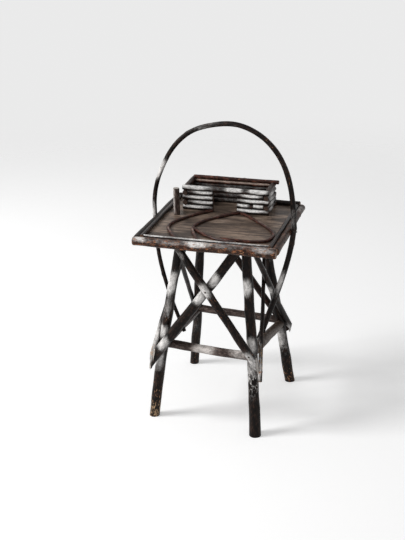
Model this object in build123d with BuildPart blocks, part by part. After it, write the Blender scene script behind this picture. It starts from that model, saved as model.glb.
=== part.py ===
from build123d import *
import os
from math import cos, radians, sin, tan

# A rustic stick table: a board tray on four branch legs, braced with crossed sticks, with a bent
# twig handle over it and a small log cabin on it.
# Millimetres. The origin is on the floor under the middle of the tray, +Z up, the front faces -Y.

# ---------------------------------------------------------------------------------------------
# Driving dimensions
# ---------------------------------------------------------------------------------------------

# Tray
board_width = 340
board_depth = 326
board_thickness = 18
table_height = 512
front_log_radii = (11.5, 13.5)
front_log_overhang = 13
rear_log_radii = (9.5, 10)
side_log_radii = (10.5, 9.5)
side_log_overhang = 7
side_log_draw_in = 3
edge_log_height = 508
rear_log_height = 514
edge_log_reach = 9
rear_log_reach = 8.5
side_log_seat = 8
rim_twig_radius = 5.25
front_rim_radius = 4.5
rim_set_in = 6
front_rim_set_in = 9
rim_front_gap = 2
rim_rear_gap = 6
twig_flat_depth = 0.6

# Legs: centres of the tops under the board and of the feet on the floor
leg_tops = {
    "front_left": (-77, -115),
    "front_right": (89, -104),
    "rear_left": (-89, 104),
    "rear_right": (74, 115),
}
leg_feet = {
    "front_left": (-153, -144),
    "front_right": (132, -177.5),
    "rear_left": (-138, 172),
    "rear_right": (156, 136),
}
leg_top_radii = {"front_left": 11.5, "front_right": 12.5, "rear_left": 12, "rear_right": 12}
leg_foot_radii = {"front_left": 14.5, "front_right": 15.5, "rear_left": 13.5, "rear_right": 14.5}
leg_bows = {
    "front_left": (-4, -3),
    "front_right": (3, 2),
    "rear_left": (3, 2),
    "rear_right": (2, -2),
}

# Stretchers: heights of their two ends on the legs
front_stretcher_heights = (214, 208)
rear_stretcher_heights = (190, 190)
left_stretcher_heights = (206, 183)
right_stretcher_heights = (222, 179)
front_stretcher_radii = (11.5, 11.5)
rear_stretcher_radii = (10.5, 10.5)
left_stretcher_radii = (11, 11)
right_stretcher_radii = (15, 12.5)
tenon_radius = 6.5
tenon_clearance = 0.5

# Braces: radii at the top and at the tip, the height where each is nailed to its leg, and how
# far its tip runs past that leg
front_long_brace_radii = (10, 11)
front_thick_brace_radii = (12, 13.5)
left_inner_brace_radii = (6, 6.5)
left_outer_brace_radii = (7.5, 8.5)
right_inner_brace_radii = (4.5, 6)
right_outer_brace_radii = (7.5, 8.5)
rear_inner_brace_radii = (9, 10)
rear_outer_brace_radii = (9, 9.5)
front_long_brace_height = 223
front_thick_brace_height = 209
left_inner_brace_height = 222
left_outer_brace_height = 216
right_inner_brace_height = 171
right_outer_brace_height = 198
rear_inner_brace_height = 172
rear_outer_brace_height = 214
front_long_brace_tip = 52
front_thick_brace_tip = 68
left_outer_brace_tip = 74
right_outer_brace_tip = 80
short_brace_tip = 26
scarf_blunt_share = 0.8
long_brace_cut_turn = 90
long_brace_cut_length = 44
thick_brace_cut_turn = 62
thick_brace_cut_length = 78
left_outer_brace_cut_length = 63
right_outer_brace_cut_length = 68
seat_depth = 1.5
thick_brace_inset = 9
long_brace_inset = 4.5
bow_sections = 4
untrimmed_extra = 30

# Handle: its bend over the tray as shares of its half width and rise, and below the tray's edge the
# outward bulges at shares of the way down
handle_radii = (4.9, 7.6)
handle_rise = 264
handle_left_back = 30
handle_right_back = -15
handle_end_back = -8
handle_end_below = 6
handle_arch = (
    (-1.0, 0.20), (-0.92, 0.43), (-0.72, 0.715), (-0.45, 0.90), (-0.16, 0.975), (0.13, 1.01),
    (0.36, 0.985), (0.62, 0.885), (0.83, 0.70), (0.95, 0.45), (0.99, 0.21),
)
handle_left_bulges = ((0.30, 19), (0.58, 18), (0.83, 11))
handle_right_bulges = ((0.28, 9), (0.6, 7))
bend_share = 0.45

# Log cabin
cabin_width = 236
cabin_centre = -11
cabin_depth = 92
cabin_rear_gap = 1
cabin_log_radius = 7.3
cabin_log_pitch = 13.5
cabin_wall_layers = 4
door_left = -45
door_right = 20
lintel_radius = 7.5
lintel_pitch = 13
split_log_share = 0.6
split_log_gap = 0.5
ridge_left_short = 8
ridge_right_long = 8
thick_back_layers = 3
thin_log_radius = 5.5
thin_log_pitch = 10.5

# Post and path twigs; the twigs' routes are shares across the tray (-1 to 1) and along it, from the
# front rim (0) to the cabin (1)
post_radius = 8.75
post_height = 73
post_left_of_cabin = 3
post_before_cabin = 40
path_twig_radius = 3.75
path_outlines = {
    "left_path_twig": (
        (-0.26, 1.04), (-0.53, 0.83), (-0.73, 0.60), (-0.82, 0.39), (-0.71, 0.20), (-0.47, -0.03),
    ),
    "right_path_twig": (
        (0.21, 1.03), (-0.09, 0.83), (-0.32, 0.62), (-0.40, 0.42), (-0.33, 0.24), (-0.12, -0.02),
    ),
    "right_pond_twig": (
        (0.17, 1.03), (0.42, 0.87), (0.78, 0.61), (0.97, 0.43), (1.0, 0.26), (0.90, 0.13),
        (0.62, 0.09), (0.19, 0.11),
    ),
    "left_pond_twig": ((-0.37, 0.38), (-0.24, 0.27), (-0.02, 0.14), (0.22, 0.06), (0.47, 0.035)),
}

# Nails
nail_radius = 1.3
nail_head_radius = 2.5
nail_head_height = 1
nail_bite = 14
crossing_bite_share = 1.4
front_nail_shares = (0.12, 0.5, 0.88)
side_nail_shares = (0.2, 0.8)
rear_nail_slope = 0.7

# ---------------------------------------------------------------------------------------------
# Places that follow from them
# ---------------------------------------------------------------------------------------------

board_bottom = table_height - board_thickness
half_width = board_width / 2
half_depth = board_depth / 2

front_log_half = half_width + front_log_overhang
front_log_y = -half_depth - edge_log_reach
rear_log_y = half_depth + rear_log_reach
side_log_x = half_width + side_log_seat
side_log_outer = side_log_x + side_log_radii[0]
side_rim_x = half_width - rim_set_in
side_rim_inner = side_rim_x - rim_twig_radius
front_rim_y = -half_depth + front_rim_set_in
front_rim_back = front_rim_y + front_rim_radius

cabin_left = cabin_centre - cabin_width / 2
cabin_right = cabin_centre + cabin_width / 2
cabin_back_face = half_depth - cabin_rear_gap
cabin_front_face = cabin_back_face - cabin_depth
front_wall_y = cabin_front_face + cabin_log_radius
back_wall_y = cabin_back_face - cabin_log_radius
left_wall_x = cabin_left + cabin_log_radius
right_wall_x = cabin_right - cabin_log_radius
wall_top = table_height + cabin_wall_layers * cabin_log_pitch

FRONT = Vector(0, -1, 0)
REAR = Vector(0, 1, 0)
LEFT = Vector(-1, 0, 0)
RIGHT = Vector(1, 0, 0)
UP = Vector(0, 0, 1)
FLOOR = Plane.XY
BOARD_UNDERSIDE = Plane.XY.offset(board_bottom)
BOARD_TOP = Plane.XY.offset(table_height)
FROM_BASE = (Align.CENTER, Align.CENTER, Align.MIN)

os.makedirs("parts", exist_ok=True)


# ---------------------------------------------------------------------------------------------
# Sticks
# ---------------------------------------------------------------------------------------------


class Stick:
    """The axis and thickness of a stick that runs from start to end with a bow at its middle."""

    def __init__(self, start, end, start_radius, end_radius, bow=(0, 0, 0)):
        self.start = Vector(start)
        self.end = Vector(end)
        self.start_radius = start_radius
        self.end_radius = end_radius
        self.bow = Vector(bow)

    def point(self, share):
        return self.start + (self.end - self.start) * share + self.bow * (4 * share * (1 - share))

    def direction(self, share):
        return (self.end - self.start + self.bow * (4 - 8 * share)).normalized()

    def radius(self, share):
        return self.start_radius + (self.end_radius - self.start_radius) * share

    def share_at_height(self, height):
        """How far along the stick a height lies, for a stick that bows only sideways."""
        return (height - self.start.Z) / (self.end.Z - self.start.Z)

    def point_at_height(self, height):
        return self.point(self.share_at_height(height))

    def radius_at_height(self, height):
        return self.radius(self.share_at_height(height))

    def section(self, share):
        return Plane(origin=self.point(share), z_dir=self.direction(share))

    def longer(self, before, after):
        """The shares of the start and end when the stick is made longer by two lengths."""
        length = (self.end - self.start).length
        return -before / length, 1 + after / length


def meeting(part, others):
    """Those of the other pieces whose boxes meet the part's box."""
    box = part.bounding_box(optimal=False)
    found = []
    for other in others:
        near = other.bounding_box(optimal=False)
        apart = (
            near.min.X > box.max.X or near.max.X < box.min.X
            or near.min.Y > box.max.Y or near.max.Y < box.min.Y
            or near.min.Z > box.max.Z or near.max.Z < box.min.Z
        )
        if not apart:
            found.append(other)
    return found


def finished(part, label):
    """Drop the offcuts, name the piece and write it."""
    piece = part.solids().sort_by(SortBy.VOLUME)[-1]
    piece.label = label
    export_step(piece, f"parts/{label}.step")
    return piece


def stick_piece(label, stick, before=0, after=0, trims=(), against=()):
    """A stick as a solid: a loft through round sections if it is bowed, or else a cylinder or cone.

    It is trimmed by planes, which take away what lies above them, and coped to its neighbours.
    """
    first, last = stick.longer(before, after)
    run = stick.point(last) - stick.point(first)
    with BuildPart() as piece:
        if stick.bow.length > 0:
            for step in range(bow_sections):
                share = first + (last - first) * step / (bow_sections - 1)
                with BuildSketch(stick.section(share)):
                    Circle(stick.radius(share))
            loft()
        elif stick.start_radius == stick.end_radius:
            with Locations(stick.section(first)):
                Cylinder(stick.start_radius, run.length, align=FROM_BASE)
        else:
            with Locations(stick.section(first)):
                Cone(stick.radius(first), stick.radius(last), run.length, align=FROM_BASE)
        for plane in trims:
            split(bisect_by=plane, keep=Keep.BOTTOM)
        for neighbour in meeting(piece.part, against):
            add(neighbour, mode=Mode.SUBTRACT)
    return finished(piece.part, label)


def nail_through(stick, share, inward, bite):
    """A nail from the outer side of a stick, through it and a bite further: head, direction, length."""
    radius = stick.radius(share)
    head = stick.point(share) - inward * (radius + nail_head_height / 2)
    return head, inward, 2 * radius + bite


def nail_group(label, places):
    """Nails with round heads; each place is (head, direction, length)."""
    with BuildPart() as nails:
        for head, direction, length in places:
            with Locations(Plane(origin=head, z_dir=direction)):
                Cylinder(nail_head_radius, nail_head_height, align=FROM_BASE)
                Cylinder(nail_radius, length, align=FROM_BASE)
    nails.part.label = label
    export_step(nails.part, f"parts/{label}.step")
    return list(nails.part.solids())


# ---------------------------------------------------------------------------------------------
# Legs, stretchers and braces as axes
# ---------------------------------------------------------------------------------------------

legs = {}
for place, (top_x, top_y) in leg_tops.items():
    foot_x, foot_y = leg_feet[place]
    bow_x, bow_y = leg_bows[place]
    legs[place] = Stick(
        (foot_x, foot_y, 0),
        (top_x, top_y, board_bottom),
        leg_foot_radii[place],
        leg_top_radii[place],
        (bow_x, bow_y, 0),
    )


def stretcher(start_leg, end_leg, heights, radii):
    start = legs[start_leg].point_at_height(heights[0])
    end = legs[end_leg].point_at_height(heights[1])
    return Stick(start, end, *radii)


stretchers = {
    "front": stretcher("front_left", "front_right", front_stretcher_heights, front_stretcher_radii),
    "rear": stretcher("rear_left", "rear_right", rear_stretcher_heights, rear_stretcher_radii),
    "left": stretcher("front_left", "rear_left", left_stretcher_heights, left_stretcher_radii),
    "right": stretcher("front_right", "rear_right", right_stretcher_heights, right_stretcher_radii),
}


def seat_on(leg, height, outward, radius):
    """The axis point of a stick of this radius that lies on the outward side of a leg."""
    reach = leg.radius_at_height(height) + radius - seat_depth
    return leg.point_at_height(height) + outward * reach


def brace_from(top, leg, height, outward, radii, tip_length):
    """A brace from under the board to a leg, with its tip running past the leg."""
    seat = seat_on(leg, height, outward, radii[1])
    tip = seat + (seat - top).normalized() * tip_length
    return Stick(top, tip, radii[0], radii[1])


def crossing_shares(over, under, outward):
    """How far along two braces they cross, seen along the outward direction."""
    across = outward.cross(UP)
    over_run = over.end - over.start
    under_run = under.end - under.start
    gap = under.start - over.start
    over_x, over_z = over_run.dot(across), over_run.Z
    under_x, under_z = under_run.dot(across), under_run.Z
    gap_x, gap_z = gap.dot(across), gap.Z
    turn = over_x * under_z - over_z * under_x
    over_share = (gap_x * under_z - gap_z * under_x) / turn
    under_share = (gap_x * over_z - gap_z * over_x) / turn
    return over_share, under_share


def bowed_over(over, under, outward):
    """The over brace, bowed outward so that it lies on the under brace where they cross."""
    over_share, under_share = crossing_shares(over, under, outward)
    clear = over.radius(over_share) + under.radius(under_share) - seat_depth
    wanted = under.point(under_share).dot(outward) + clear
    lift = (wanted - over.point(over_share).dot(outward)) / (4 * over_share * (1 - over_share))
    return Stick(over.start, over.end, over.start_radius, over.end_radius, outward * lift)


# Front: the thick brace lies on both legs and the long one crosses in front of it, from the
# front edge of the board.
thick_top = seat_on(legs["front_right"], board_bottom, FRONT, front_thick_brace_radii[0])
thick_top = thick_top + LEFT * thick_brace_inset
front_thick = brace_from(
    thick_top, legs["front_left"], front_thick_brace_height, FRONT,
    front_thick_brace_radii, front_thick_brace_tip,
)
long_top = Vector(legs["front_left"].end.X + long_brace_inset, front_rim_y, board_bottom)
front_long = brace_from(
    long_top, legs["front_right"], front_long_brace_height, FRONT,
    front_long_brace_radii, front_long_brace_tip,
)
front_long = bowed_over(front_long, front_thick, FRONT)


def side_pair(outward, inner, outer):
    """An inner brace and an outer one over it; each is (top leg, low leg, height, radii, tip)."""
    made = []
    for top_leg, low_leg, height, radii, tip_length in (inner, outer):
        top = seat_on(legs[top_leg], board_bottom, outward, radii[0])
        made.append(brace_from(top, legs[low_leg], height, outward, radii, tip_length))
    return made[0], bowed_over(made[1], made[0], outward)


left_inner, left_outer = side_pair(
    LEFT,
    ("front_left", "rear_left", left_inner_brace_height, left_inner_brace_radii, short_brace_tip),
    ("rear_left", "front_left", left_outer_brace_height, left_outer_brace_radii, left_outer_brace_tip),
)
right_inner, right_outer = side_pair(
    RIGHT,
    ("rear_right", "front_right", right_inner_brace_height, right_inner_brace_radii, short_brace_tip),
    ("front_right", "rear_right", right_outer_brace_height, right_outer_brace_radii, right_outer_brace_tip),
)
rear_inner, rear_outer = side_pair(
    REAR,
    ("rear_left", "rear_right", rear_inner_brace_height, rear_inner_brace_radii, short_brace_tip),
    ("rear_right", "rear_left", rear_outer_brace_height, rear_outer_brace_radii, short_brace_tip),
)
# A brace that comes later is notched round the ones before it.
braces = {
    "left_outer_brace": (left_outer, LEFT, left_outer_brace_height),
    "front_thick_brace": (front_thick, FRONT, front_thick_brace_height),
    "front_long_brace": (front_long, FRONT, front_long_brace_height),
    "left_inner_brace": (left_inner, LEFT, left_inner_brace_height),
    "right_inner_brace": (right_inner, RIGHT, right_inner_brace_height),
    "right_outer_brace": (right_outer, RIGHT, right_outer_brace_height),
    "rear_inner_brace": (rear_inner, REAR, rear_inner_brace_height),
    "rear_outer_brace": (rear_outer, REAR, rear_outer_brace_height),
}
# The slanting cut at a brace's tip: how far it is turned from the brace's outer side to its upper
# side, and its length
slanting_cuts = {
    "left_outer_brace": (0, left_outer_brace_cut_length),
    "front_thick_brace": (thick_brace_cut_turn, thick_brace_cut_length),
    "front_long_brace": (long_brace_cut_turn, long_brace_cut_length),
    "right_outer_brace": (0, right_outer_brace_cut_length),
}

# ---------------------------------------------------------------------------------------------
# The handle's route and nails
# ---------------------------------------------------------------------------------------------

handle_half_width = side_log_outer + sum(handle_radii) / 2 - seat_depth


def back_at(across):
    """How far back the handle stands, from its left side (-1) to its right side (1)."""
    return handle_left_back + (handle_right_back - handle_left_back) * (across + 1) / 2


def handle_end(rail, inward, radius):
    """Where the handle's end lies, against the inner side of a side stretcher."""
    share = (handle_end_back - rail.start.Y) / (rail.end.Y - rail.start.Y)
    beside = rail.point(share) + inward * (rail.radius(share) + radius - seat_depth)
    return beside - UP * handle_end_below


left_hold = Vector(-handle_half_width, handle_left_back, edge_log_height)
right_hold = Vector(handle_half_width, handle_right_back, edge_log_height)
left_end = handle_end(stretchers["left"], RIGHT, handle_radii[0])
right_end = handle_end(stretchers["right"], LEFT, handle_radii[1])


def lower_run(hold, end, outward, bulges):
    """Points between the tray's edge and a handle end, from the tray down."""
    return [hold + (end - hold) * share + outward * bulge for share, bulge in bulges]


handle_points = [left_end]
handle_points += reversed(lower_run(left_hold, left_end, LEFT, handle_left_bulges))
handle_points.append(left_hold)
for across, rise in handle_arch:
    handle_points.append(
        Vector(across * handle_half_width, back_at(across), edge_log_height + rise * handle_rise)
    )
handle_points.append(right_hold)
handle_points += lower_run(right_hold, right_end, RIGHT, handle_right_bulges)
handle_points.append(right_end)


def route_length(points):
    return sum((after - before).length for before, after in zip(points, points[1:]))


def handle_nail(point, toward, above, inward):
    """A nail through the handle, a little above one of the points of its route."""
    index = handle_points.index(point)
    share = route_length(handle_points[: index + 1]) / route_length(handle_points)
    radius = handle_radii[0] + (handle_radii[1] - handle_radii[0]) * share
    next_point = handle_points[index + toward]
    run = Stick(point, next_point, radius, radius)
    return nail_through(run, above / (next_point - point).length, inward, nail_bite)


handle_nails = nail_group(
    "handle_nails",
    [
        handle_nail(left_hold, 1, 0, RIGHT),
        handle_nail(right_hold, -1, 0, LEFT),
        handle_nail(left_end, 1, handle_end_below, LEFT),
        handle_nail(right_end, -1, handle_end_below, RIGHT),
    ],
)

# ---------------------------------------------------------------------------------------------
# Nails, before the pieces that they go through
# ---------------------------------------------------------------------------------------------

brace_nail_places = []
for stick, outward, height in braces.values():
    share = stick.share_at_height(height)
    brace_nail_places.append(nail_through(stick, share, -outward, nail_bite))
for over, under, outward in (
    (front_long, front_thick, FRONT),
    (left_outer, left_inner, LEFT),
    (right_outer, right_inner, RIGHT),
    (rear_outer, rear_inner, REAR),
):
    over_share, under_share = crossing_shares(over, under, outward)
    bite = crossing_bite_share * under.radius(under_share)
    brace_nail_places.append(nail_through(over, over_share, -outward, bite))
brace_nails = nail_group("brace_nails", brace_nail_places)

leg_nails = nail_group(
    "leg_nails",
    [(leg.end + UP * board_thickness, -UP, board_thickness + 2 * nail_bite) for leg in legs.values()],
)

# ---------------------------------------------------------------------------------------------
# Frame
# ---------------------------------------------------------------------------------------------


def mortise(leg, rail, from_start):
    """A round hole in a leg for the tenon of a stretcher, short of the leg's middle."""
    axis = rail.direction(0) if from_start else -rail.direction(0)
    origin = (rail.start if from_start else rail.end) + axis * (tenon_radius + tenon_clearance)
    with BuildPart() as hole:
        with Locations(Plane(origin=origin, z_dir=axis)):
            Cylinder(tenon_radius, 2 * leg.start_radius, align=FROM_BASE)
    return hole.part.solid()


leg_mortises = {
    "front_left": (("front", True), ("left", True)),
    "front_right": (("front", False), ("right", True)),
    "rear_left": (("rear", True), ("left", False)),
    "rear_right": (("rear", False), ("right", False)),
}
leg_solids = []
for place, leg in legs.items():
    holes = [mortise(leg, stretchers[side], at_start) for side, at_start in leg_mortises[place]]
    leg_solids.append(
        stick_piece(
            f"{place}_leg", leg, untrimmed_extra, untrimmed_extra, trims=(BOARD_UNDERSIDE, -FLOOR),
            against=holes + brace_nails + leg_nails + handle_nails,
        )
    )

frame_solids = list(leg_solids)
for side in ("front", "rear", "left", "right"):
    frame_solids.append(
        stick_piece(
            f"{side}_stretcher", stretchers[side],
            against=frame_solids + brace_nails + handle_nails,
        )
    )


def scarf(stick, outward, turn, length):
    """The plane of a long slanting cut that ends at a brace's tip."""
    along = stick.direction(1)
    across = along.cross(outward)
    upward = across if across.Z > 0 else -across
    cut_side = outward * cos(radians(turn)) + upward * sin(radians(turn))
    radius = stick.end_radius
    tip = stick.end - cut_side * (radius * scarf_blunt_share)
    facing = (along * (2 * radius) + cut_side * length).normalized()
    return Plane(origin=tip, z_dir=facing)


for label, (stick, outward, height) in braces.items():
    trims = [BOARD_UNDERSIDE]
    if label in slanting_cuts:
        trims.append(scarf(stick, outward, *slanting_cuts[label]))
    frame_solids.append(
        stick_piece(label, stick, untrimmed_extra, trims=trims, against=frame_solids + brace_nails)
    )

# ---------------------------------------------------------------------------------------------
# Tray
# ---------------------------------------------------------------------------------------------

front_log = Stick(
    (-front_log_half, front_log_y, edge_log_height),
    (front_log_half, front_log_y, edge_log_height),
    *front_log_radii,
)
rear_log = Stick(
    (-half_width, rear_log_y, rear_log_height), (half_width, rear_log_y, rear_log_height), *rear_log_radii
)


def side_log_axis(outward):
    start = outward * side_log_x + FRONT * half_depth + UP * edge_log_height
    end = outward * (side_log_x - side_log_draw_in) + REAR * (half_depth + side_log_overhang)
    return Stick(start, end + UP * edge_log_height, *side_log_radii)


side_logs = {"left": (side_log_axis(LEFT), LEFT), "right": (side_log_axis(RIGHT), RIGHT)}

edge_nail_places = []
for share in front_nail_shares:
    edge_nail_places.append(nail_through(front_log, share, REAR, nail_bite))
    slanting_in = (FRONT - UP * rear_nail_slope).normalized()
    edge_nail_places.append(nail_through(rear_log, share, slanting_in, nail_bite))
for share in side_nail_shares:
    for side_log, outward in side_logs.values():
        edge_nail_places.append(nail_through(side_log, share, -outward, nail_bite))
edge_nails = nail_group("edge_nails", edge_nail_places)

with BuildPart() as board:
    with BuildSketch(BOARD_UNDERSIDE):
        Rectangle(board_width, board_depth)
    extrude(amount=board_thickness)
    for nail in leg_nails + edge_nails + handle_nails:
        add(nail, mode=Mode.SUBTRACT)
finished(board.part, "tray_board")

front_board_edge = Plane(origin=(0, -half_depth, 0), z_dir=REAR)
tray_solids = [
    stick_piece("front_edge_log", front_log, trims=(front_board_edge,), against=edge_nails)
]
rear_board_edge = Plane(origin=(0, half_depth, 0), z_dir=FRONT)
tray_solids.append(
    stick_piece("rear_edge_log", rear_log, trims=(rear_board_edge,), against=edge_nails)
)
for side, (side_log, outward) in side_logs.items():
    side_board_edge = Plane(origin=outward * half_width, z_dir=-outward)
    tray_solids.append(
        stick_piece(
            f"{side}_edge_log", side_log, trims=(side_board_edge,),
            against=tray_solids + edge_nails + handle_nails,
        )
    )
    rim_middle = outward * side_rim_x + UP * (table_height + rim_twig_radius - twig_flat_depth)
    rim = Stick(
        rim_middle + FRONT * (half_depth - rim_front_gap),
        rim_middle + REAR * (half_depth - rim_rear_gap),
        rim_twig_radius,
        rim_twig_radius,
    )
    tray_solids.append(stick_piece(f"{side}_rim_twig", rim, trims=(-BOARD_TOP,)))
front_rim_z = table_height + front_rim_radius - twig_flat_depth
front_rim = Stick(
    (-side_rim_x, front_rim_y, front_rim_z), (side_rim_x, front_rim_y, front_rim_z),
    front_rim_radius, front_rim_radius,
)
tray_solids.append(
    stick_piece("front_rim_twig", front_rim, trims=(-BOARD_TOP,), against=tray_solids)
)

# ---------------------------------------------------------------------------------------------
# Log cabin
# ---------------------------------------------------------------------------------------------


def cabin_log(label, start, end, radius=cabin_log_radius, height=cabin_log_pitch, against=()):
    """A log hewn flat above and below, lying level from start to end."""
    start, end = Vector(start), Vector(end)
    along = (end - start).normalized()
    with BuildPart() as log:
        with BuildSketch(Plane(origin=start, x_dir=along.cross(UP), z_dir=along)):
            Circle(radius)
            Rectangle(2 * radius, height, mode=Mode.INTERSECT)
        extrude(amount=(end - start).length)
        for neighbour in meeting(log.part, against):
            add(neighbour, mode=Mode.SUBTRACT)
    return finished(log.part, label)


upper_side_logs = []
for layer in range(1, cabin_wall_layers + 1):
    z = table_height + cabin_log_pitch * (layer - 0.5)
    long_front = layer % 2 == 1
    inset = 0 if long_front else 2 * cabin_log_radius
    side_inset = 2 * cabin_log_radius if long_front else 0
    left_end = cabin_left + inset
    right_end = cabin_right - inset
    cabin_log(f"cabin_front_left_log_{layer}", (left_end, front_wall_y, z), (door_left, front_wall_y, z))
    if layer == 2:
        split_x = door_right + (right_end - door_right) * split_log_share
        cabin_log(
            f"cabin_front_right_log_{layer}", (door_right, front_wall_y, z), (split_x, front_wall_y, z)
        )
        cabin_log(
            f"cabin_front_corner_log_{layer}",
            (split_x + split_log_gap, front_wall_y, z), (right_end, front_wall_y, z),
        )
    else:
        cabin_log(
            f"cabin_front_right_log_{layer}", (door_right, front_wall_y, z), (right_end, front_wall_y, z)
        )
    if layer <= thick_back_layers:
        cabin_log(f"cabin_back_log_{layer}", (left_end, back_wall_y, z), (right_end, back_wall_y, z))
    for side, x in (("left", left_wall_x), ("right", right_wall_x)):
        side_wall_log = cabin_log(
            f"cabin_{side}_log_{layer}",
            (x, cabin_front_face + side_inset, z), (x, cabin_back_face - side_inset, z),
        )
        if layer == cabin_wall_layers:
            upper_side_logs.append(side_wall_log)

lintel_z = wall_top + lintel_pitch / 2
lintel_ends = (cabin_left, front_wall_y, lintel_z), (cabin_right, front_wall_y, lintel_z)
lintel = cabin_log("cabin_lintel", *lintel_ends, lintel_radius, lintel_pitch)
# Above its three thick logs the back wall goes on with thin ones, and the last of them is the ridge,
# which lies in notches in the side walls' top logs.
thin_logs_bottom = table_height + thick_back_layers * cabin_log_pitch
lower_thin_z, upper_thin_z, ridge_z = (
    thin_logs_bottom + thin_log_pitch * (thin_layer + 0.5) for thin_layer in range(3)
)
ridge = cabin_log(
    "cabin_ridge",
    (cabin_left + ridge_left_short, back_wall_y, ridge_z),
    (cabin_right + ridge_right_long, back_wall_y, ridge_z),
    thin_log_radius, thin_log_pitch,
)
for side, x in (("left", left_wall_x), ("right", right_wall_x)):
    upper_side_logs.append(
        cabin_log(
            f"cabin_{side}_top_log",
            (x, front_wall_y, lintel_z), (x, cabin_back_face, lintel_z),
            cabin_log_radius, lintel_pitch, against=(lintel, ridge),
        )
    )
for label, z in (("cabin_back_log_4", lower_thin_z), ("cabin_back_log_5", upper_thin_z)):
    cabin_log(
        label, (left_wall_x, back_wall_y, z), (right_wall_x, back_wall_y, z),
        thin_log_radius, thin_log_pitch, against=upper_side_logs,
    )

# ---------------------------------------------------------------------------------------------
# Gate post and path twigs
# ---------------------------------------------------------------------------------------------

post_foot = Vector(cabin_left - post_left_of_cabin, cabin_front_face - post_before_cabin, table_height)
stick_piece(
    "gate_post", Stick(post_foot, post_foot + UP * post_height, post_radius, post_radius)
)


def bend_radii(points):
    """Corner radii that turn a polyline into one smooth bend."""
    radii = []
    for before, corner, after in zip(points, points[1:], points[2:]):
        run_in, run_out = corner - before, after - corner
        half_turn = radians(run_in.get_angle(run_out)) / 2
        radii.append(bend_share * min(run_in.length, run_out.length) / tan(half_turn))
    return radii


def bent_twig(label, points, radii, trims=(), against=()):
    """A twig along a bent route, thinning from one end to the other where its radii differ."""
    with BuildPart() as twig:
        with BuildLine() as route:
            FilletPolyline(*points, radius=bend_radii(points))
        for share in (0, 1) if radii[0] != radii[1] else (0,):
            with BuildSketch(Plane(origin=route.line @ share, z_dir=route.line % share)):
                Circle(radii[share])
        sweep(multisection=radii[0] != radii[1])
        for plane in trims:
            split(bisect_by=plane, keep=Keep.BOTTOM)
        for neighbour in meeting(twig.part, against):
            add(neighbour, mode=Mode.SUBTRACT)
    return finished(twig.part, label)


def on_tray(across, along):
    """A point of a path twig's axis: across the tray from -1 to 1, along it from the front rim (0)
    to the cabin (1)."""
    x = across * (side_rim_inner - path_twig_radius)
    y = front_rim_back + along * (cabin_front_face - front_rim_back)
    return Vector(x, y, table_height + path_twig_radius - twig_flat_depth)


cabin_front_plane = Plane(origin=(0, cabin_front_face, 0), z_dir=REAR)
front_rim_plane = Plane(origin=(0, front_rim_back, 0), z_dir=FRONT)
twig_solids = []
for label, outline in path_outlines.items():
    route_points = [on_tray(across, along) for across, along in outline]
    twig_solids.append(
        bent_twig(
            label, route_points, (path_twig_radius, path_twig_radius),
            trims=(-BOARD_TOP, cabin_front_plane, front_rim_plane), against=twig_solids,
        )
    )

bent_twig(
    "handle", handle_points, handle_radii, against=tray_solids + frame_solids + handle_nails
)
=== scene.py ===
# %% [markdown]
# # A rustic stick table
# This notebook dresses the solid model of a small table that is nailed together from branches. The
# solid model gives every stick its place and size. Here each stick gets what a plain cylinder lacks:
# bark with ridges and knots, scorched and pale zones, sawn ends, nails and a grained board.

# %% Load the solid model
import math
import random

import bmesh
import bpy
import numpy as np
from mathutils import Matrix, Vector


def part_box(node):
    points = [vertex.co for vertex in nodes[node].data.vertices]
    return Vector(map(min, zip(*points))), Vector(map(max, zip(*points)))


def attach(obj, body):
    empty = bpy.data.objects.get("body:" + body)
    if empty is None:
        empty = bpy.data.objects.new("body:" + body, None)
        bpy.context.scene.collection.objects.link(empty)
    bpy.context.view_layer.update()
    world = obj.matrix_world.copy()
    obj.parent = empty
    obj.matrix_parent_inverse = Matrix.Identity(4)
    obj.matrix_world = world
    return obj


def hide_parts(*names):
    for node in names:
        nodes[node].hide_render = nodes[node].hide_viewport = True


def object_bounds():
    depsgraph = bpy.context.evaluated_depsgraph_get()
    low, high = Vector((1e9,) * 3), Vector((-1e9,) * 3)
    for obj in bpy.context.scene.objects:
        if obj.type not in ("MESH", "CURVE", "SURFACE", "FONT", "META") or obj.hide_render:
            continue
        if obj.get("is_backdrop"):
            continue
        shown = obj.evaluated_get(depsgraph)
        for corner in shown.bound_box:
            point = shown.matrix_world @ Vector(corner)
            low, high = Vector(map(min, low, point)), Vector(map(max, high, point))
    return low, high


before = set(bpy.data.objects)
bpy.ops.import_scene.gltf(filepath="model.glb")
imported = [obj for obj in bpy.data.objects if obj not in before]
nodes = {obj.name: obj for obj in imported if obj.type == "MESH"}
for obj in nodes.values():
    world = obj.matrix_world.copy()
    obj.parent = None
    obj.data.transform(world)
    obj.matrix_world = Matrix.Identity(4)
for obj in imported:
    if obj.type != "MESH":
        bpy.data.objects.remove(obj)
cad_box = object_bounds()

MM = 0.001
print("solid pieces:", len(nodes))

# %% [markdown]
# ## Camera
# The table is seen from its front, a little from the right and from above. The camera is placed by
# its distance and two angles round a target, and then rolled by about a degree. The lens is rather
# long, so the legs keep almost parallel lines. A camera that tracks an empty would do as well, but a
# matrix from three directions is exact and needs no constraint.

# %% Place the camera
CAMERA_TARGET = Vector((-356.6, 990.9, -60.8)) * MM
CAMERA_DISTANCE = 4.0
CAMERA_AZIMUTH = math.radians(16.91)
CAMERA_ELEVATION = math.radians(22.68)
CAMERA_ROLL = math.radians(-1.11)
CAMERA_LENS, CAMERA_SENSOR_WIDTH = 72.41, 36

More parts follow.
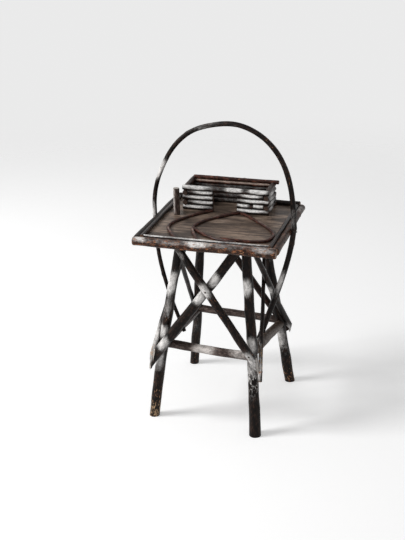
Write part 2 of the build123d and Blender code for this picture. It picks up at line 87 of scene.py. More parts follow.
backward = Vector((
    math.sin(CAMERA_AZIMUTH) * math.cos(CAMERA_ELEVATION),
    -math.cos(CAMERA_AZIMUTH) * math.cos(CAMERA_ELEVATION),
    math.sin(CAMERA_ELEVATION),
))
level_right = Vector((0, 0, 1)).cross(backward).normalized()
level_up = backward.cross(level_right)
camera_right = math.cos(CAMERA_ROLL) * level_right + math.sin(CAMERA_ROLL) * level_up
camera_up = math.cos(CAMERA_ROLL) * level_up - math.sin(CAMERA_ROLL) * level_right


def placed_object(name, data):
    """A new object with this data, linked to the scene."""
    item = bpy.data.objects.new(name, data)
    bpy.context.scene.collection.objects.link(item)
    return item


camera_data = bpy.data.cameras.new("camera")
camera_data.lens = CAMERA_LENS
camera_data.sensor_width = CAMERA_SENSOR_WIDTH
camera = placed_object("camera", camera_data)
turn = Matrix((camera_right, camera_up, backward)).transposed().to_4x4()
camera.matrix_world = Matrix.Translation(CAMERA_TARGET + backward * CAMERA_DISTANCE) @ turn
bpy.context.scene.camera = camera
print("camera at", [round(value, 3) for value in camera.location])

# %% [markdown]
# ## Small helpers for node trees
# Every material and every Geometry Nodes tree below is a list of nodes and links. They could be drawn
# by hand in the editor, but a list in code can be read and made again. A few helpers keep it short:
# they add a node with its settings, feed its sockets and name the steps that come back often.

# %% Node helpers
def feed(tree, socket, value):
    """Links a socket to another node's output, or gives it a fixed value."""
    if isinstance(value, bpy.types.NodeSocket):
        tree.links.new(value, socket)
    else:
        socket.default_value = value


def add_node(tree, kind, settings=None, **inputs):
    """A new node; settings are its properties and inputs its sockets, by name."""
    node = tree.nodes.new(kind)
    for name, value in (settings or {}).items():
        setattr(node, name, value)
    for name, value in inputs.items():
        feed(tree, node.inputs[name.replace("_", " ")], value)
    return node


def maths(tree, operation, *values):
    """The output of a Math node on up to three sockets or numbers."""
    node = tree.nodes.new("ShaderNodeMath")
    node.operation = operation
    for socket, value in zip(node.inputs, values):
        feed(tree, socket, value)
    return node.outputs[0]


def noise(tree, vector, scale, detail=4.0, roughness=0.5, w=None):
    """The value of a Noise Texture, four-dimensional where it gets a seed."""
    node = add_node(
        tree, "ShaderNodeTexNoise", {"noise_dimensions": "3D" if w is None else "4D"},
        Vector=vector, Scale=scale, Detail=detail, Roughness=roughness,
    )
    if w is not None:
        feed(tree, node.inputs["W"], w)
    return node.outputs[0]


def smooth_step(tree, value, low, high):
    """0 below low, 1 above high and a soft change between."""
    node = add_node(tree, "ShaderNodeMapRange", {"interpolation_type": "SMOOTHSTEP"})
    for name, given_value in (("Value", value), ("From Min", low), ("From Max", high)):
        feed(tree, node.inputs[name], given_value)
    return node.outputs[0]


def blend_colours(tree, factor, first, second):
    """The colour that goes from first to second as the factor goes from 0 to 1."""
    node = tree.nodes.new("ShaderNodeMix")
    node.data_type = "RGBA"
    for index, value in ((0, factor), (6, first), (7, second)):
        feed(tree, node.inputs[index], (*value, 1.0) if isinstance(value, tuple) else value)
    return node.outputs[2]


def new_material(name):
    """An empty material with its Principled shader."""
    material = bpy.data.materials.new(name)
    material.use_nodes = True
    return material, material.node_tree, material.node_tree.nodes["Principled BSDF"]


def attribute_of(tree, name, output="Fac"):
    """What a mesh carries under this name, read in a material."""
    return add_node(tree, "ShaderNodeAttribute", {"attribute_name": name}).outputs[output]


def stretched(tree, vector, scale, shift=(0, 0, 0)):
    """The coordinates, stretched and shifted."""
    return add_node(tree, "ShaderNodeMapping", Vector=vector, Scale=scale, Location=shift).outputs[0]


def length_of(tree, vector):
    """The length of a vector."""
    node = add_node(tree, "ShaderNodeVectorMath", {"operation": "LENGTH"})
    tree.links.new(vector, node.inputs[0])
    return node.outputs["Value"]


def add_bump(tree, shader, height, strength, distance):
    """Fine relief that only the shading shows."""
    bump = add_node(tree, "ShaderNodeBump", Height=height, Strength=strength, Distance=distance)
    tree.links.new(bump.outputs[0], shader.inputs["Normal"])


print("node helpers ready")

# %% [markdown]
# ## Bark
# The sticks keep their bark. It looks scorched and varnished: most of a stick is near black, and
# between the dark zones it is pale silver grey, with soft borders. The pale zones are partly the
# bark's own silver and partly a painted highlight. Small chips are missing and show rust-brown wood.
#
# A pattern on plain object coordinates would cut through the sticks at a slant. So every stick mesh
# carries its own coordinates in the attribute "lay": two across the stick and one along it. Noise
# that is stretched along it gives fibres. Three more attributes say where the bark is pale ("pale"),
# where it is chipped ("worn") and where it stands up in flakes with pale rims ("curl"). The pale
# zones are partly silver bark and partly a painted highlight. A painted image would do it too, but
# noise has no seams and needs no file.

# %% Bark material
SILVER_BARK_AND_HIGHLIGHT = (0.93, 0.90, 0.875)
RUST = (0.32, 0.11, 0.045)
TAN_WOOD = (0.52, 0.34, 0.20)
materials_before = len(bpy.data.materials)


def bark_material(name, dark, brown, pale, chip, roughness=0.40, chip_level=0.0, gloss=0.12):
    """Dark, varnished bark: its two dark tones, its pale tone, which stands for silver bark and a painted
    highlight, and the wood under a chip.
    """
    material, tree, shader = new_material(name)
    lay = attribute_of(tree, "lay", "Vector")
    pale_here = attribute_of(tree, "pale")
    worn_here = attribute_of(tree, "worn")
    curl_here = attribute_of(tree, "curl")
    fibre_lay = stretched(tree, lay, (1.0, 1.0, 0.14))
    patch_lay = stretched(tree, lay, (1.0, 1.0, 0.45))
    chip_lay = stretched(tree, lay, (1.0, 1.0, 0.3))
    flame = noise(tree, patch_lay, 55, 3, 0.55)
    mottle = noise(tree, patch_lay, 140, 5, 0.6, w=1.7)
    fibre = noise(tree, fibre_lay, 800, 3, 0.6)
    grit = noise(tree, patch_lay, 420, 5, 0.7)

    colour = blend_colours(tree, smooth_step(tree, mottle, 0.44, 0.66), dark, brown)
    fibre_dark = tuple(value * 0.5 for value in dark)
    colour = blend_colours(tree, smooth_step(tree, fibre, 0.56, 0.38), colour, fibre_dark)

    unrest = maths(tree, "MULTIPLY", maths(tree, "SUBTRACT", flame, 0.5), 1.3)
    unrest = maths(tree, "MULTIPLY_ADD", maths(tree, "SUBTRACT", grit, 0.5), 0.9, unrest)
    looseness = maths(tree, "MULTIPLY_ADD", pale_here, 0.7, 0.55)
    reach = maths(tree, "MULTIPLY_ADD", unrest, looseness, pale_here)
    # The pale zones are partly silver bark and partly a painted highlight.
    pale_mask = smooth_step(tree, reach, 0.12, 0.88)
    pale_dull = tuple(value * 0.62 for value in pale)
    pale_colour = blend_colours(tree, smooth_step(tree, mottle, 0.38, 0.60), pale_dull, pale)
    colour = blend_colours(tree, pale_mask, colour, pale_colour)
    pores = smooth_step(tree, noise(tree, patch_lay, 650, 3, 0.6, w=5.2), 0.58, 0.66)
    colour = blend_colours(tree, maths(tree, "MULTIPLY", pores, 0.85), colour, dark)
    flake = maths(tree, "SUBTRACT", noise(tree, patch_lay, 120, 3, 0.55, w=8.4), 0.5)
    flake_edge = smooth_step(tree, maths(tree, "ABSOLUTE", flake), 0.030, 0.006)
    flake_inside = smooth_step(tree, flake, 0.0, 0.02)
    colour = blend_colours(tree, maths(tree, "MULTIPLY", flake_inside, curl_here), colour, dark)
    colour = blend_colours(tree, maths(tree, "MULTIPLY", flake_edge, curl_here), colour, pale)

    chips = noise(tree, chip_lay, 270, 6, 0.7, w=3.1)
    chip_edge = maths(tree, "MULTIPLY_ADD", worn_here, -0.20, 0.72 - chip_level)
    chip_mask = smooth_step(tree, chips, chip_edge, maths(tree, "ADD", chip_edge, 0.04))
    chip_colour = blend_colours(tree, smooth_step(tree, grit, 0.46, 0.62), chip, TAN_WOOD)
    chip_colour = blend_colours(tree, smooth_step(tree, worn_here, 0.75, 1.0), chip_colour, TAN_WOOD)
    colour = blend_colours(tree, chip_mask, colour, chip_colour)
    tree.links.new(colour, shader.inputs["Base Color"])

    rough = maths(tree, "MULTIPLY_ADD", grit, 0.3, roughness - 0.15)
    rough = maths(tree, "ADD", rough, maths(tree, "MULTIPLY", pale_mask, 0.15))
    tree.links.new(rough, shader.inputs["Roughness"])
    height = maths(tree, "MULTIPLY_ADD", fibre, 0.6, maths(tree, "MULTIPLY", grit, 0.5))
    height = maths(tree, "SUBTRACT", height, maths(tree, "MULTIPLY", chip_mask, 0.5))
    add_bump(tree, shader, height, 0.5, 0.0006)
    shader.inputs["Specular IOR Level"].default_value = gloss
    return material


# Each bark's pale tone stands both for silver bark and for a painted highlight.
frame_bark = bark_material(
    "scorched_bark", (0.0055, 0.0036, 0.0031), (0.052, 0.029, 0.021), SILVER_BARK_AND_HIGHLIGHT, RUST, chip_level=0.01
)
edge_bark = bark_material(
    "edge_log_bark", (0.032, 0.016, 0.011), (0.17, 0.078, 0.05), SILVER_BARK_AND_HIGHLIGHT, (0.38, 0.12, 0.045),
    chip_level=0.04,
)
cabin_bark = bark_material(
    "cabin_bark", (0.010, 0.006, 0.005), (0.080, 0.037, 0.026), (0.97, 0.95, 0.93), RUST, roughness=0.34,
    gloss=0.25,
)
red_bark = bark_material(
    "mahogany_bark", (0.038, 0.014, 0.010), (0.20, 0.070, 0.046), (0.58, 0.45, 0.38), RUST,
    roughness=0.34, chip_level=0.03, gloss=0.2,
)
dark_red_bark = bark_material(
    "dark_mahogany_bark", (0.016, 0.009, 0.007), (0.075, 0.032, 0.022), (0.58, 0.47, 0.41), RUST
)
smoked_bark = bark_material(
    "smoked_bark", (0.058, 0.040, 0.035), (0.200, 0.148, 0.128), (0.80, 0.74, 0.70), RUST
)
peeled_bark = bark_material(
    "peeled_branch", (0.085, 0.062, 0.048), (0.20, 0.155, 0.125), (0.42, 0.37, 0.32), RUST
)
print("bark materials:", len(bpy.data.materials) - materials_before)

# %% [markdown]
# ## Sawn ends
# Where a stick was sawn or split, the bare wood shows: a tan disc with faint rings, darkened by
# varnish. The rings come from the distance to the stick's axis, which "lay" gives as well. A Wave
# Texture on the same coordinates would make rings too. A sine of that distance is as short, and one
# number sets its spacing.

# %% Sawn wood material
def sawn_material(name, light, dark, ring_scale):
    """Bare wood: rings across an end, fibres along a split."""
    material, tree, shader = new_material(name)
    lay = attribute_of(tree, "lay", "Vector")
    flat = stretched(tree, lay, (1.0, 1.0, 0.02))
    warp = maths(tree, "MULTIPLY", noise(tree, flat, 180, 3, 0.5), 5.0)
    rings = maths(tree, "SINE", maths(tree, "MULTIPLY_ADD", length_of(tree, flat), ring_scale, warp))
    fibre = noise(tree, flat, 900, 4, 0.65)
    stain = noise(tree, lay, 160, 4, 0.6)
    factor = maths(tree, "MULTIPLY_ADD", rings, 0.18, fibre)
    colour = blend_colours(tree, smooth_step(tree, factor, 0.25, 0.75), dark, light)
    stained = tuple(value * 0.35 for value in dark)
    colour = blend_colours(tree, smooth_step(tree, stain, 0.5, 0.72), colour, stained)
    tree.links.new(colour, shader.inputs["Base Color"])
    shader.inputs["Roughness"].default_value = 0.5
    add_bump(tree, shader, fibre, 0.5, 0.0005)
    return material


sawn_end = sawn_material("sawn_end", (0.34, 0.19, 0.11), (0.10, 0.05, 0.03), 5200)
stained_end = sawn_material("stained_end", (0.10, 0.055, 0.038), (0.03, 0.017, 0.013), 5200)
split_wood = sawn_material("split_wood", (0.62, 0.585, 0.54), (0.32, 0.28, 0.245), 3000)
print("bare wood:", sawn_end.name, stained_end.name, split_wood.name)

# %% [markdown]
# ## One Geometry Nodes tree for all sticks
# Every stick follows the same rule: a round section runs along an axis, thins towards one end, and
# has bark ridges and gentle lumps. That is what Geometry Nodes do well. The tree takes a line of
# points, each with a radius that is called its girth, sweeps a circle along it, stores the stick's own
# coordinates and then pushes the surface in and out with two noises: a slow one for lumps and one that
# is stretched along the stick for ridges. The caps at the ends get the sawn wood. A cylinder with
# Displace modifiers could be bent as well, but it would need its own settings for each of more than
# fifty sticks.

# %% The stick tree
def new_tree(name, inputs):
    """A Geometry Nodes tree with a geometry in and out and the named inputs: (name, type, default)."""
    tree = bpy.data.node_groups.new(name, "GeometryNodeTree")
    tree.interface.new_socket("Geometry", in_out="INPUT", socket_type="NodeSocketGeometry")
    tree.interface.new_socket("Geometry", in_out="OUTPUT", socket_type="NodeSocketGeometry")
    for label, kind, default in inputs:
        socket = tree.interface.new_socket(label, in_out="INPUT", socket_type=kind)
        if default is not None:
            socket.default_value = default
    return tree, tree.nodes.new("NodeGroupInput").outputs, tree.nodes.new("NodeGroupOutput").inputs


def named(tree, name, data_type="FLOAT"):
    """The value of a named attribute."""
    node = add_node(tree, "GeometryNodeInputNamedAttribute", {"data_type": data_type}, Name=name)
    return node.outputs[0]


def stored(tree, geometry, name, value, data_type="FLOAT"):
    """The geometry with a value kept on its points under a name."""
    node = add_node(
        tree, "GeometryNodeStoreNamedAttribute", {"data_type": data_type, "domain": "POINT"},
        Geometry=geometry, Name=name, Value=value,
    )
    return node.outputs[0]


def scaled(tree, vector, factors):
    """The vector, with each of its parts multiplied."""
    node = add_node(tree, "ShaderNodeVectorMath", {"operation": "MULTIPLY"})
    tree.links.new(vector, node.inputs[0])
    node.inputs[1].default_value = factors
    return node.outputs[0]


stick_tree, given, result = new_tree("stick", (
    ("Ring Spacing", "NodeSocketFloat", 0.002),
    ("Sides", "NodeSocketInt", 36),
    ("Lump Height", "NodeSocketFloat", 0.0006),
    ("Ridge Height", "NodeSocketFloat", 0.0005),
    ("Ridge Width", "NodeSocketFloat", 0.004),
    ("Seed", "NodeSocketFloat", 0.0),
    ("Bark", "NodeSocketMaterial", None),
    ("Sawn End", "NodeSocketMaterial", None),
))
axis = add_node(stick_tree, "GeometryNodeMeshToCurve", Mesh=given["Geometry"]).outputs[0]
axis = add_node(
    stick_tree, "GeometryNodeResampleCurve", {"mode": "LENGTH"}, Curve=axis, Length=given["Ring Spacing"]
).outputs[0]
along = add_node(stick_tree, "GeometryNodeSplineParameter").outputs["Length"]
axis = stored(stick_tree, axis, "along", along)
circle = add_node(
    stick_tree, "GeometryNodeCurvePrimitiveCircle", Resolution=given["Sides"], Radius=1.0
).outputs[0]
around = add_node(stick_tree, "GeometryNodeSplineParameter").outputs["Factor"]
circle = stored(stick_tree, circle, "around", around)
tube = add_node(
    stick_tree, "GeometryNodeCurveToMesh",
    Curve=axis, Profile_Curve=circle, Scale=named(stick_tree, "girth"), Fill_Caps=True,
).outputs[0]
angle = maths(stick_tree, "MULTIPLY", named(stick_tree, "around"), 2 * math.pi)
lay = add_node(
    stick_tree, "ShaderNodeCombineXYZ",
    X=maths(stick_tree, "MULTIPLY", maths(stick_tree, "COSINE", angle), named(stick_tree, "girth")),
    Y=maths(stick_tree, "MULTIPLY", maths(stick_tree, "SINE", angle), named(stick_tree, "girth")),
    Z=named(stick_tree, "along"),
).outputs[0]
tube = stored(stick_tree, tube, "lay", lay, "FLOAT_VECTOR")
LUMP_SIZE = 0.022
LUMP_LEVEL, RIDGE_LEVEL = 0.56, 0.5
SIDES_OF_A_QUAD = 4
lay = named(stick_tree, "lay", "FLOAT_VECTOR")
lumps = noise(stick_tree, scaled(stick_tree, lay, (1, 1, 0.6)), 1 / LUMP_SIZE, 1, 0.5, w=given["Seed"])
ridge_scale = maths(stick_tree, "DIVIDE", 1.0, given["Ridge Width"])
ridges = noise(stick_tree, scaled(stick_tree, lay, (1, 1, 0.13)), ridge_scale, 2, 0.6, w=given["Seed"])
lump_lift = maths(stick_tree, "SUBTRACT", lumps, LUMP_LEVEL)
lift = maths(stick_tree, "MULTIPLY", lump_lift, given["Lump Height"])
ridge_lift = maths(stick_tree, "SUBTRACT", ridges, RIDGE_LEVEL)
lift = maths(stick_tree, "MULTIPLY_ADD", ridge_lift, given["Ridge Height"], lift)
push = add_node(stick_tree, "ShaderNodeVectorMath", {"operation": "SCALE"}, Scale=lift)
stick_tree.links.new(add_node(stick_tree, "GeometryNodeInputNormal").outputs[0], push.inputs[0])
tube = add_node(stick_tree, "GeometryNodeSetPosition", Geometry=tube, Offset=push.outputs[0]).outputs[0]
corners = add_node(stick_tree, "GeometryNodeInputMeshFaceNeighbors").outputs["Vertex Count"]
is_cap = add_node(
    stick_tree, "FunctionNodeCompare", {"data_type": "INT", "operation": "GREATER_THAN"}
)
stick_tree.links.new(corners, is_cap.inputs[2])
is_cap.inputs[3].default_value = SIDES_OF_A_QUAD
is_cap = is_cap.outputs[0]
tube = add_node(
    stick_tree, "GeometryNodeSetShadeSmooth", Geometry=tube, Selection=is_cap, Shade_Smooth=False
).outputs[0]
tube = add_node(stick_tree, "GeometryNodeRealizeInstances", Geometry=tube).outputs[0]
tube = add_node(stick_tree, "GeometryNodeSetMaterial", Geometry=tube, Material=given["Bark"]).outputs[0]
tube = add_node(
    stick_tree, "GeometryNodeSetMaterial", Geometry=tube, Selection=is_cap, Material=given["Sawn End"]
).outputs[0]
stick_tree.links.new(tube, result[0])
print("stick tree:", len(stick_tree.nodes), "nodes")

# %% [markdown]
# ## From a line of points to a finished stick
# The helper below runs the tree on a line of points and keeps the result as a plain mesh. Then it
# does what is easier in code: it raises knots, cuts the stick with planes where it is sawn or split,
# and writes "pale", "worn" and "curl". A zone is a middle and a half length as shares of the stick
# with a strength, and it fades out softly, because the dark finish has no hard border. A stick may
# start with a length that nobody sees, such as a leg's foot below its cut, and shares are counted
# from where that ends.

# %% Make a stick
BARK_SLOT, SAWN_SLOT, SPLIT_SLOT = 0, 1, 2
LUMP_SHARE = 0.09
SEED_STEP = 7.3
ZONE_SPREAD, ZONE_POWER = 1.15, 2.2


def made_by(tree, holder_mesh, values):
    """The mesh that a tree makes from a holder mesh, with the tree's inputs set by name."""
    holder = placed_object("holder", holder_mesh)
    modifier = holder.modifiers.new("tree", "NODES")
    modifier.node_group = tree
    for item in tree.interface.items_tree:
        if item.in_out == "INPUT" and item.name in values:
            modifier[item.identifier] = values[item.name]
    depsgraph = bpy.context.evaluated_depsgraph_get()
    mesh = bpy.data.meshes.new_from_object(
        holder.evaluated_get(depsgraph), preserve_all_data_layers=True, depsgraph=depsgraph
    )
    holder.modifiers.remove(modifier)
    bpy.data.objects.remove(holder)
    bpy.data.meshes.remove(holder_mesh)
    return mesh


def axis_mesh(points, girths):
    """A line of edges through the points, with a girth at each."""
    mesh = bpy.data.meshes.new("axis")
    mesh.from_pydata([tuple(p) for p in points], [(i, i + 1) for i in range(len(points) - 1)], [])
    girth = mesh.attributes.new("girth", "FLOAT", "POINT")
    girth.data.foreach_set("value", np.array(girths, np.float32))
    return mesh


def cut_mesh(mesh, planes):
    """Cuts a mesh with planes, each (point, direction, material slot): what lies in the direction goes."""
    work = bmesh.new()
    work.from_mesh(mesh)
    for point, direction, slot_index in planes:
        cut = bmesh.ops.bisect_plane(
            work, geom=work.verts[:] + work.edges[:] + work.faces[:],
            plane_co=point, plane_no=direction, clear_outer=True,
        )
        rim = [item for item in cut["geom_cut"] if isinstance(item, bmesh.types.BMEdge)]
        filled = bmesh.ops.edgenet_fill(work, edges=rim)
        for face in filled["faces"]:
            face.material_index = slot_index
            face.smooth = False
            if face.normal.dot(Vector(direction)) < 0:
                face.normal_flip()
    work.to_mesh(mesh)
    work.free()


def vertex_array(mesh, kind):
    """Positions or normals of a mesh as an array."""
    flat = np.empty(3 * len(mesh.vertices))
    if kind == "normal":
        mesh.vertex_normals.foreach_get("vector", flat)
    else:
        mesh.vertices.foreach_get("co", flat)
    return flat.reshape(-1, 3)


def lay_array(mesh):
    """The stick's own coordinates of a mesh as an array."""
    flat = np.empty(3 * len(mesh.vertices))
    mesh.attributes["lay"].data.foreach_get("vector", flat)
    return flat.reshape(-1, 3)


def write_attribute(mesh, name, values):
    """Keeps one value from 0 to 1 for each point of a mesh."""
    attribute = mesh.attributes.get(name) or mesh.attributes.new(name, "FLOAT", "POINT")
    attribute.data.foreach_set("value", np.clip(values, 0, 1).astype(np.float32))


def raise_knots(mesh, length, hidden, knots):
    """Bumps: each knot is (share along, direction that it faces, height, width)."""
    place, normal, own = vertex_array(mesh, "place"), vertex_array(mesh, "normal"), lay_array(mesh)
    thickness = np.hypot(own[:, 0], own[:, 1])
    for share, facing, height, width in knots:
        facing = np.array(Vector(facing).normalized())
        turn_away = np.arccos(np.clip(normal @ facing, -1, 1)) * thickness
        far = np.hypot(own[:, 2] - hidden - share * (length - hidden), turn_away)
        place += normal * (height * np.exp(-((far / width) ** 2)))[:, None]
    mesh.vertices.foreach_set("co", place.ravel())
    mesh.update()


def zones(shares, bands):
    """The sum of soft bands, each (middle, half length, strength)."""
    total = np.zeros_like(shares)
    for middle, half, strength in bands:
        total += strength * np.exp(-(np.abs(shares - middle) / (ZONE_SPREAD * half)) ** ZONE_POWER)
    return total


def finish_piece(name, mesh, node):
    """Links a mesh as a piece of the object that stands for a node of the solid model."""
    piece = placed_object(name, mesh)
    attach(piece, "root")
    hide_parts(node)
    return piece


stick_count = 0
triangle_count = 0


def make_stick(node, points, girths, slot_name, bark, pale=(), worn=(), knots=(), cuts=(), sides=36,
               spacing=0.0022, lump=None, ridge=0.0006, ridge_width=0.004, end=None, base_pale=0.0,
               base_worn=0.0, curl=(), pale_side=None, side_edge=-0.5, side_soft=1.1, hidden=0.0):
    """A stick along a line of points. Pale zones can be kept to the side that faces a given direction,
    where they paint a highlight, and shares count from the end of the hidden start."""
    global stick_count, triangle_count
    stick_count += 1
    mesh = made_by(stick_tree, axis_mesh(points, girths), {
        "Ring Spacing": spacing, "Sides": sides, "Lump Height": lump or LUMP_SHARE * max(girths),
        "Ridge Height": ridge, "Ridge Width": ridge_width, "Seed": stick_count * SEED_STEP,
        "Bark": bark, "Sawn End": end or sawn_end,
    })
    mesh.materials.append(split_wood)
    length = lay_array(mesh)[:, 2].max()
    if knots:
        raise_knots(mesh, length, hidden, knots)
    if cuts:
        cut_mesh(mesh, cuts)
    shares = (lay_array(mesh)[:, 2] - hidden) / (length - hidden)
    pale_amount = base_pale + zones(shares, pale)
    # Pale kept to one side is a painted highlight: it lies on the side that faces the given direction, mostly
    # the key lamp or the top.
    if pale_side:
        toward = vertex_array(mesh, "normal") @ np.array(Vector(pale_side).normalized())
        pale_amount *= np.clip((toward - side_edge) / side_soft, 0, 1)
    write_attribute(mesh, "pale", pale_amount)
    write_attribute(mesh, "curl", zones(shares, curl))
    write_attribute(mesh, "worn", base_worn + zones(shares, worn))
    mesh.calc_loop_triangles()
    triangle_count += len(mesh.loop_triangles)
    return finish_piece(f"{node}_wood", mesh, node)


print("stick helpers ready")

# %% [markdown]
# ## Natural axes
# No branch is straight. Each axis is the straight or gently bowed line of the solid model, with a
# slow wander of up to about a millimetre on top. The wander is a sum of two sines with a random
# phase, and the random numbers come from a generator with a fixed seed, so each run gives the same
# sticks. Noise would wander as well, but two sines need no other tool. Either has to be held back at
# the ends, where sticks meet.

# %% Wandering axes
SEED = 7
chance = random.Random(SEED)
CHAMFER, CHAMFERED_GIRTH = 1.5, 0.88
END_HOLD = 8


def wandering(start, end, start_girth, end_girth, bow=(0, 0, 0), wander=1.0, swell=0.035, step=12.0):
    """Points and girths, in metres, of a natural stick between two points in millimetres."""
    start, end, bow = Vector(start), Vector(end), Vector(bow)
    run = end - start
    side = run.orthogonal().normalized()
    other = run.cross(side).normalized()
    phases = [chance.uniform(0, 2 * math.pi) for _ in range(6)]
    count = max(4, round(run.length / step))
    chamfer = CHAMFER / run.length
    points, girths = [], []
    for share in sorted({index / count for index in range(count + 1)} | {chamfer, 1 - chamfer}):
        at = run.length * share
        hold = min(1.0, END_HOLD * share, END_HOLD * (1 - share))
        sway = math.sin(at / 38 + phases[0]) * 0.5 + math.sin(at / 17 + phases[1]) * 0.25
        swing = math.sin(at / 43 + phases[2]) * 0.5 + math.sin(at / 19 + phases[3]) * 0.25
        place = start + run * share + bow * (4 * share * (1 - share))
        points.append((place + (side * sway + other * swing) * wander * hold) * MM)
        wave = math.sin(at / 31 + phases[4]) * 0.6 + math.sin(at / 13 + phases[5]) * 0.4
        girth = (start_girth + (end_girth - start_girth) * share) * (1 + swell * (wave - 0.5))
        girths.append(girth * (CHAMFERED_GIRTH if share in (0.0, 1.0) else 1.0) * MM)
    return points, girths


print("axes wander with seed", SEED)

# %% [markdown]
# ## Legs
# Four branches, sawn flat at the foot, with the board nailed down onto their tops. The dressed tops
# go a little into the board, where nobody sees them, so that no gap shows under it. The front left
# foot has lost most of its varnish and shows golden wood. A foot is made too long and cut at the
# floor, which leaves it flat however the leg leans.

# %% Legs
UP = (0, 0, 1)
DOWN = (0, 0, -1)
# The side that faces the key lamp; pale zones kept to it are a painted highlight.
LIT_SIDE = (-0.6, -0.8, 0.2)
BOARD_UNDERSIDE = 494.0
LEG_RUN_UP = 6.0
LEG_BELOW = 16.0


def leg(node, foot, top, foot_girth, top_girth, bow, **look):
    """A leg between two points that are given across and along, in millimetres."""
    top = Vector((*top, BOARD_UNDERSIDE))
    foot = Vector((*foot, 0))
    run = (top - foot) / BOARD_UNDERSIDE
    points, girths = wandering(
        foot - run * LEG_BELOW, top + run * LEG_RUN_UP, foot_girth, top_girth, bow, wander=1.3, swell=0.05
    )
    # The leg's pale zones stay on the lamp's side as a painted highlight.
    make_stick(
        node, points, girths, "frame_bark", frame_bark, cuts=(((0, 0, 0), DOWN, SAWN_SLOT),), sides=40,
        hidden=LEG_BELOW * MM, pale_side=LIT_SIDE, **look
    )


leg(
    "front_left_leg", (-153, -144), (-77, -115), 14.5, 11.5, (-4, -3, 0),
    pale=((0.765, 0.05, 1.25), (0.62, 0.05, 0.35), (0.5, 0.03, 1.0), (0.335, 0.05, 0.9)),
    worn=((0.03, 0.13, 1.0), (0.25, 0.08, 0.5), (0.6, 0.1, 0.6)),
    knots=((0.62, (-1, -0.3, 0), 0.0012, 0.006), (0.83, (1, -1, 0), 0.001, 0.006)),
)
leg(
    "front_right_leg", (132, -177.5), (89, -104), 15.5, 12.5, (3, 2, 0),
    pale=((0.78, 0.035, 1.1), (0.48, 0.035, 1.1), (0.36, 0.06, 0.45)),
    worn=((0.38, 0.1, 0.5),), curl=((0.3, 0.055, 0.75),),
    knots=((0.66, (-1, -1, 0), 0.0012, 0.007), (0.15, (1, -0.4, 0), 0.0014, 0.008)),
)
leg(
    "rear_left_leg", (-138, 172), (-89, 104), 13.5, 12, (3, 2, 0),
    pale=((0.3, 0.08, 0.25),), worn=((0.0, 0.12, 0.6),),
)
leg(
    "rear_right_leg", (156, 136), (74, 115), 14.5, 12, (2, -2, 0),
    pale=((0.28, 0.05, 0.8), (0.8, 0.08, 0.3)), worn=((0.0, 0.2, 0.8),), curl=((0.25, 0.05, 0.4),),
    knots=((0.5, (1, -0.6, 0), 0.0012, 0.007),),
)
print("legs:", stick_count, "triangles:", triangle_count)

# %% [markdown]
# ## Stretchers
# One branch on each side joins the legs. Its ends are whittled to tenons that are hidden in the legs.
# The solid model has them, so the dressed stick simply runs into each leg at full thickness. The right
# stretcher is a thick peeled branch, lighter than the rest.

# %% Stretchers
def stretcher(node, start, end, start_girth, end_girth, bark=smoked_bark, **look):
    """A stretcher between two points in millimetres."""
    points, girths = wandering(start, end, start_girth, end_girth, wander=1.2)
    make_stick(node, points, girths, "frame_bark", bark, **look)


stretcher(
    "front_stretcher", (-124.0, -134.4, 214.0), (116.8, -144.6, 208.0), 11.5, 11.5,
    pale=((0.47, 0.09, 1.0), (0.85, 0.1, 0.45)), base_pale=0.1, worn=((0.6, 0.2, 0.5),),
)
stretcher("rear_stretcher", (-116.3, 147.7, 190.0), (126.4, 126.0, 190.0), 10.5, 10.5)
stretcher("left_stretcher", (-125.2, -134.8, 206.0), (-117.0, 148.7, 183.0), 11, 11)
stretcher(
    "right_stretcher", (115.6, -142.5, 222.0), (128.1, 126.5, 179.0), 15, 12.5, bark=peeled_bark,
    ridge=0.0003, knots=((0.25, (1, 0, 0.4), 0.0014, 0.009),),
)
print("legs and stretchers:", stick_count, "triangles:", triangle_count)

# %% [markdown]
# ## Braces
# Two thinner branches cross on each side and are nailed to the outer faces of the legs. Their lower
# ends run past the legs, and four of them are split off in a long slanting cut that shows pale wood.
# A cut is a plane, given by a point on it and the direction in which the wood goes. A Boolean could
# cut as well, but one plane is faster and leaves a clean rim.

# %% Braces
BRACE_RUN_UP = 24.0
BRACE_INTO_BOARD = 4.0
BLUNT_SHARE = 0.8


def brace(node, top, tip, top_girth, tip_girth, bow=(0, 0, 0), bark=frame_bark, scarf=None,
          pale_side=LIT_SIDE, **look):
    """A brace from a place under the board, across and along, to its tip. Its scarf is (outward
    direction, degrees turned towards the upper side, length)."""
    top, tip = Vector((*top, BOARD_UNDERSIDE)), Vector(tip)
    along = (tip - top).normalized()
    points, girths = wandering(
        top - along * BRACE_RUN_UP, tip, top_girth, tip_girth, bow, wander=0.9, swell=0.045
    )
    cuts = [(Vector((0, 0, BOARD_UNDERSIDE + BRACE_INTO_BOARD)) * MM, UP, SAWN_SLOT)]
    if scarf:
        outward, degrees, length = scarf
        across = along.cross(Vector(outward))
        upward = across if across.z > 0 else -across
        turned = math.radians(degrees)
        cut_side = Vector(outward) * math.cos(turned) + upward * math.sin(turned)
        facing = (along * (2 * tip_girth) + cut_side * length).normalized()
        cuts.append(((tip - cut_side * (tip_girth * BLUNT_SHARE)) * MM, facing, SPLIT_SLOT))
    # A brace's pale zones stay on the given side, by default the lamp's, as a painted highlight.
    make_stick(
        node, points, girths, "frame_bark", bark, cuts=cuts, hidden=BRACE_RUN_UP * MM,
        pale_side=pale_side, **look
    )


FRONT, REAR, LEFT, RIGHT = (0, -1, 0), (0, 1, 0), (-1, 0, 0), (1, 0, 0)
print("brace tops are cut at", BOARD_UNDERSIDE + BRACE_INTO_BOARD, "mm")

# %% [markdown]
# Each call says where a brace starts under the board, across and along, and where its tip is. The
# zones are read from the top down.

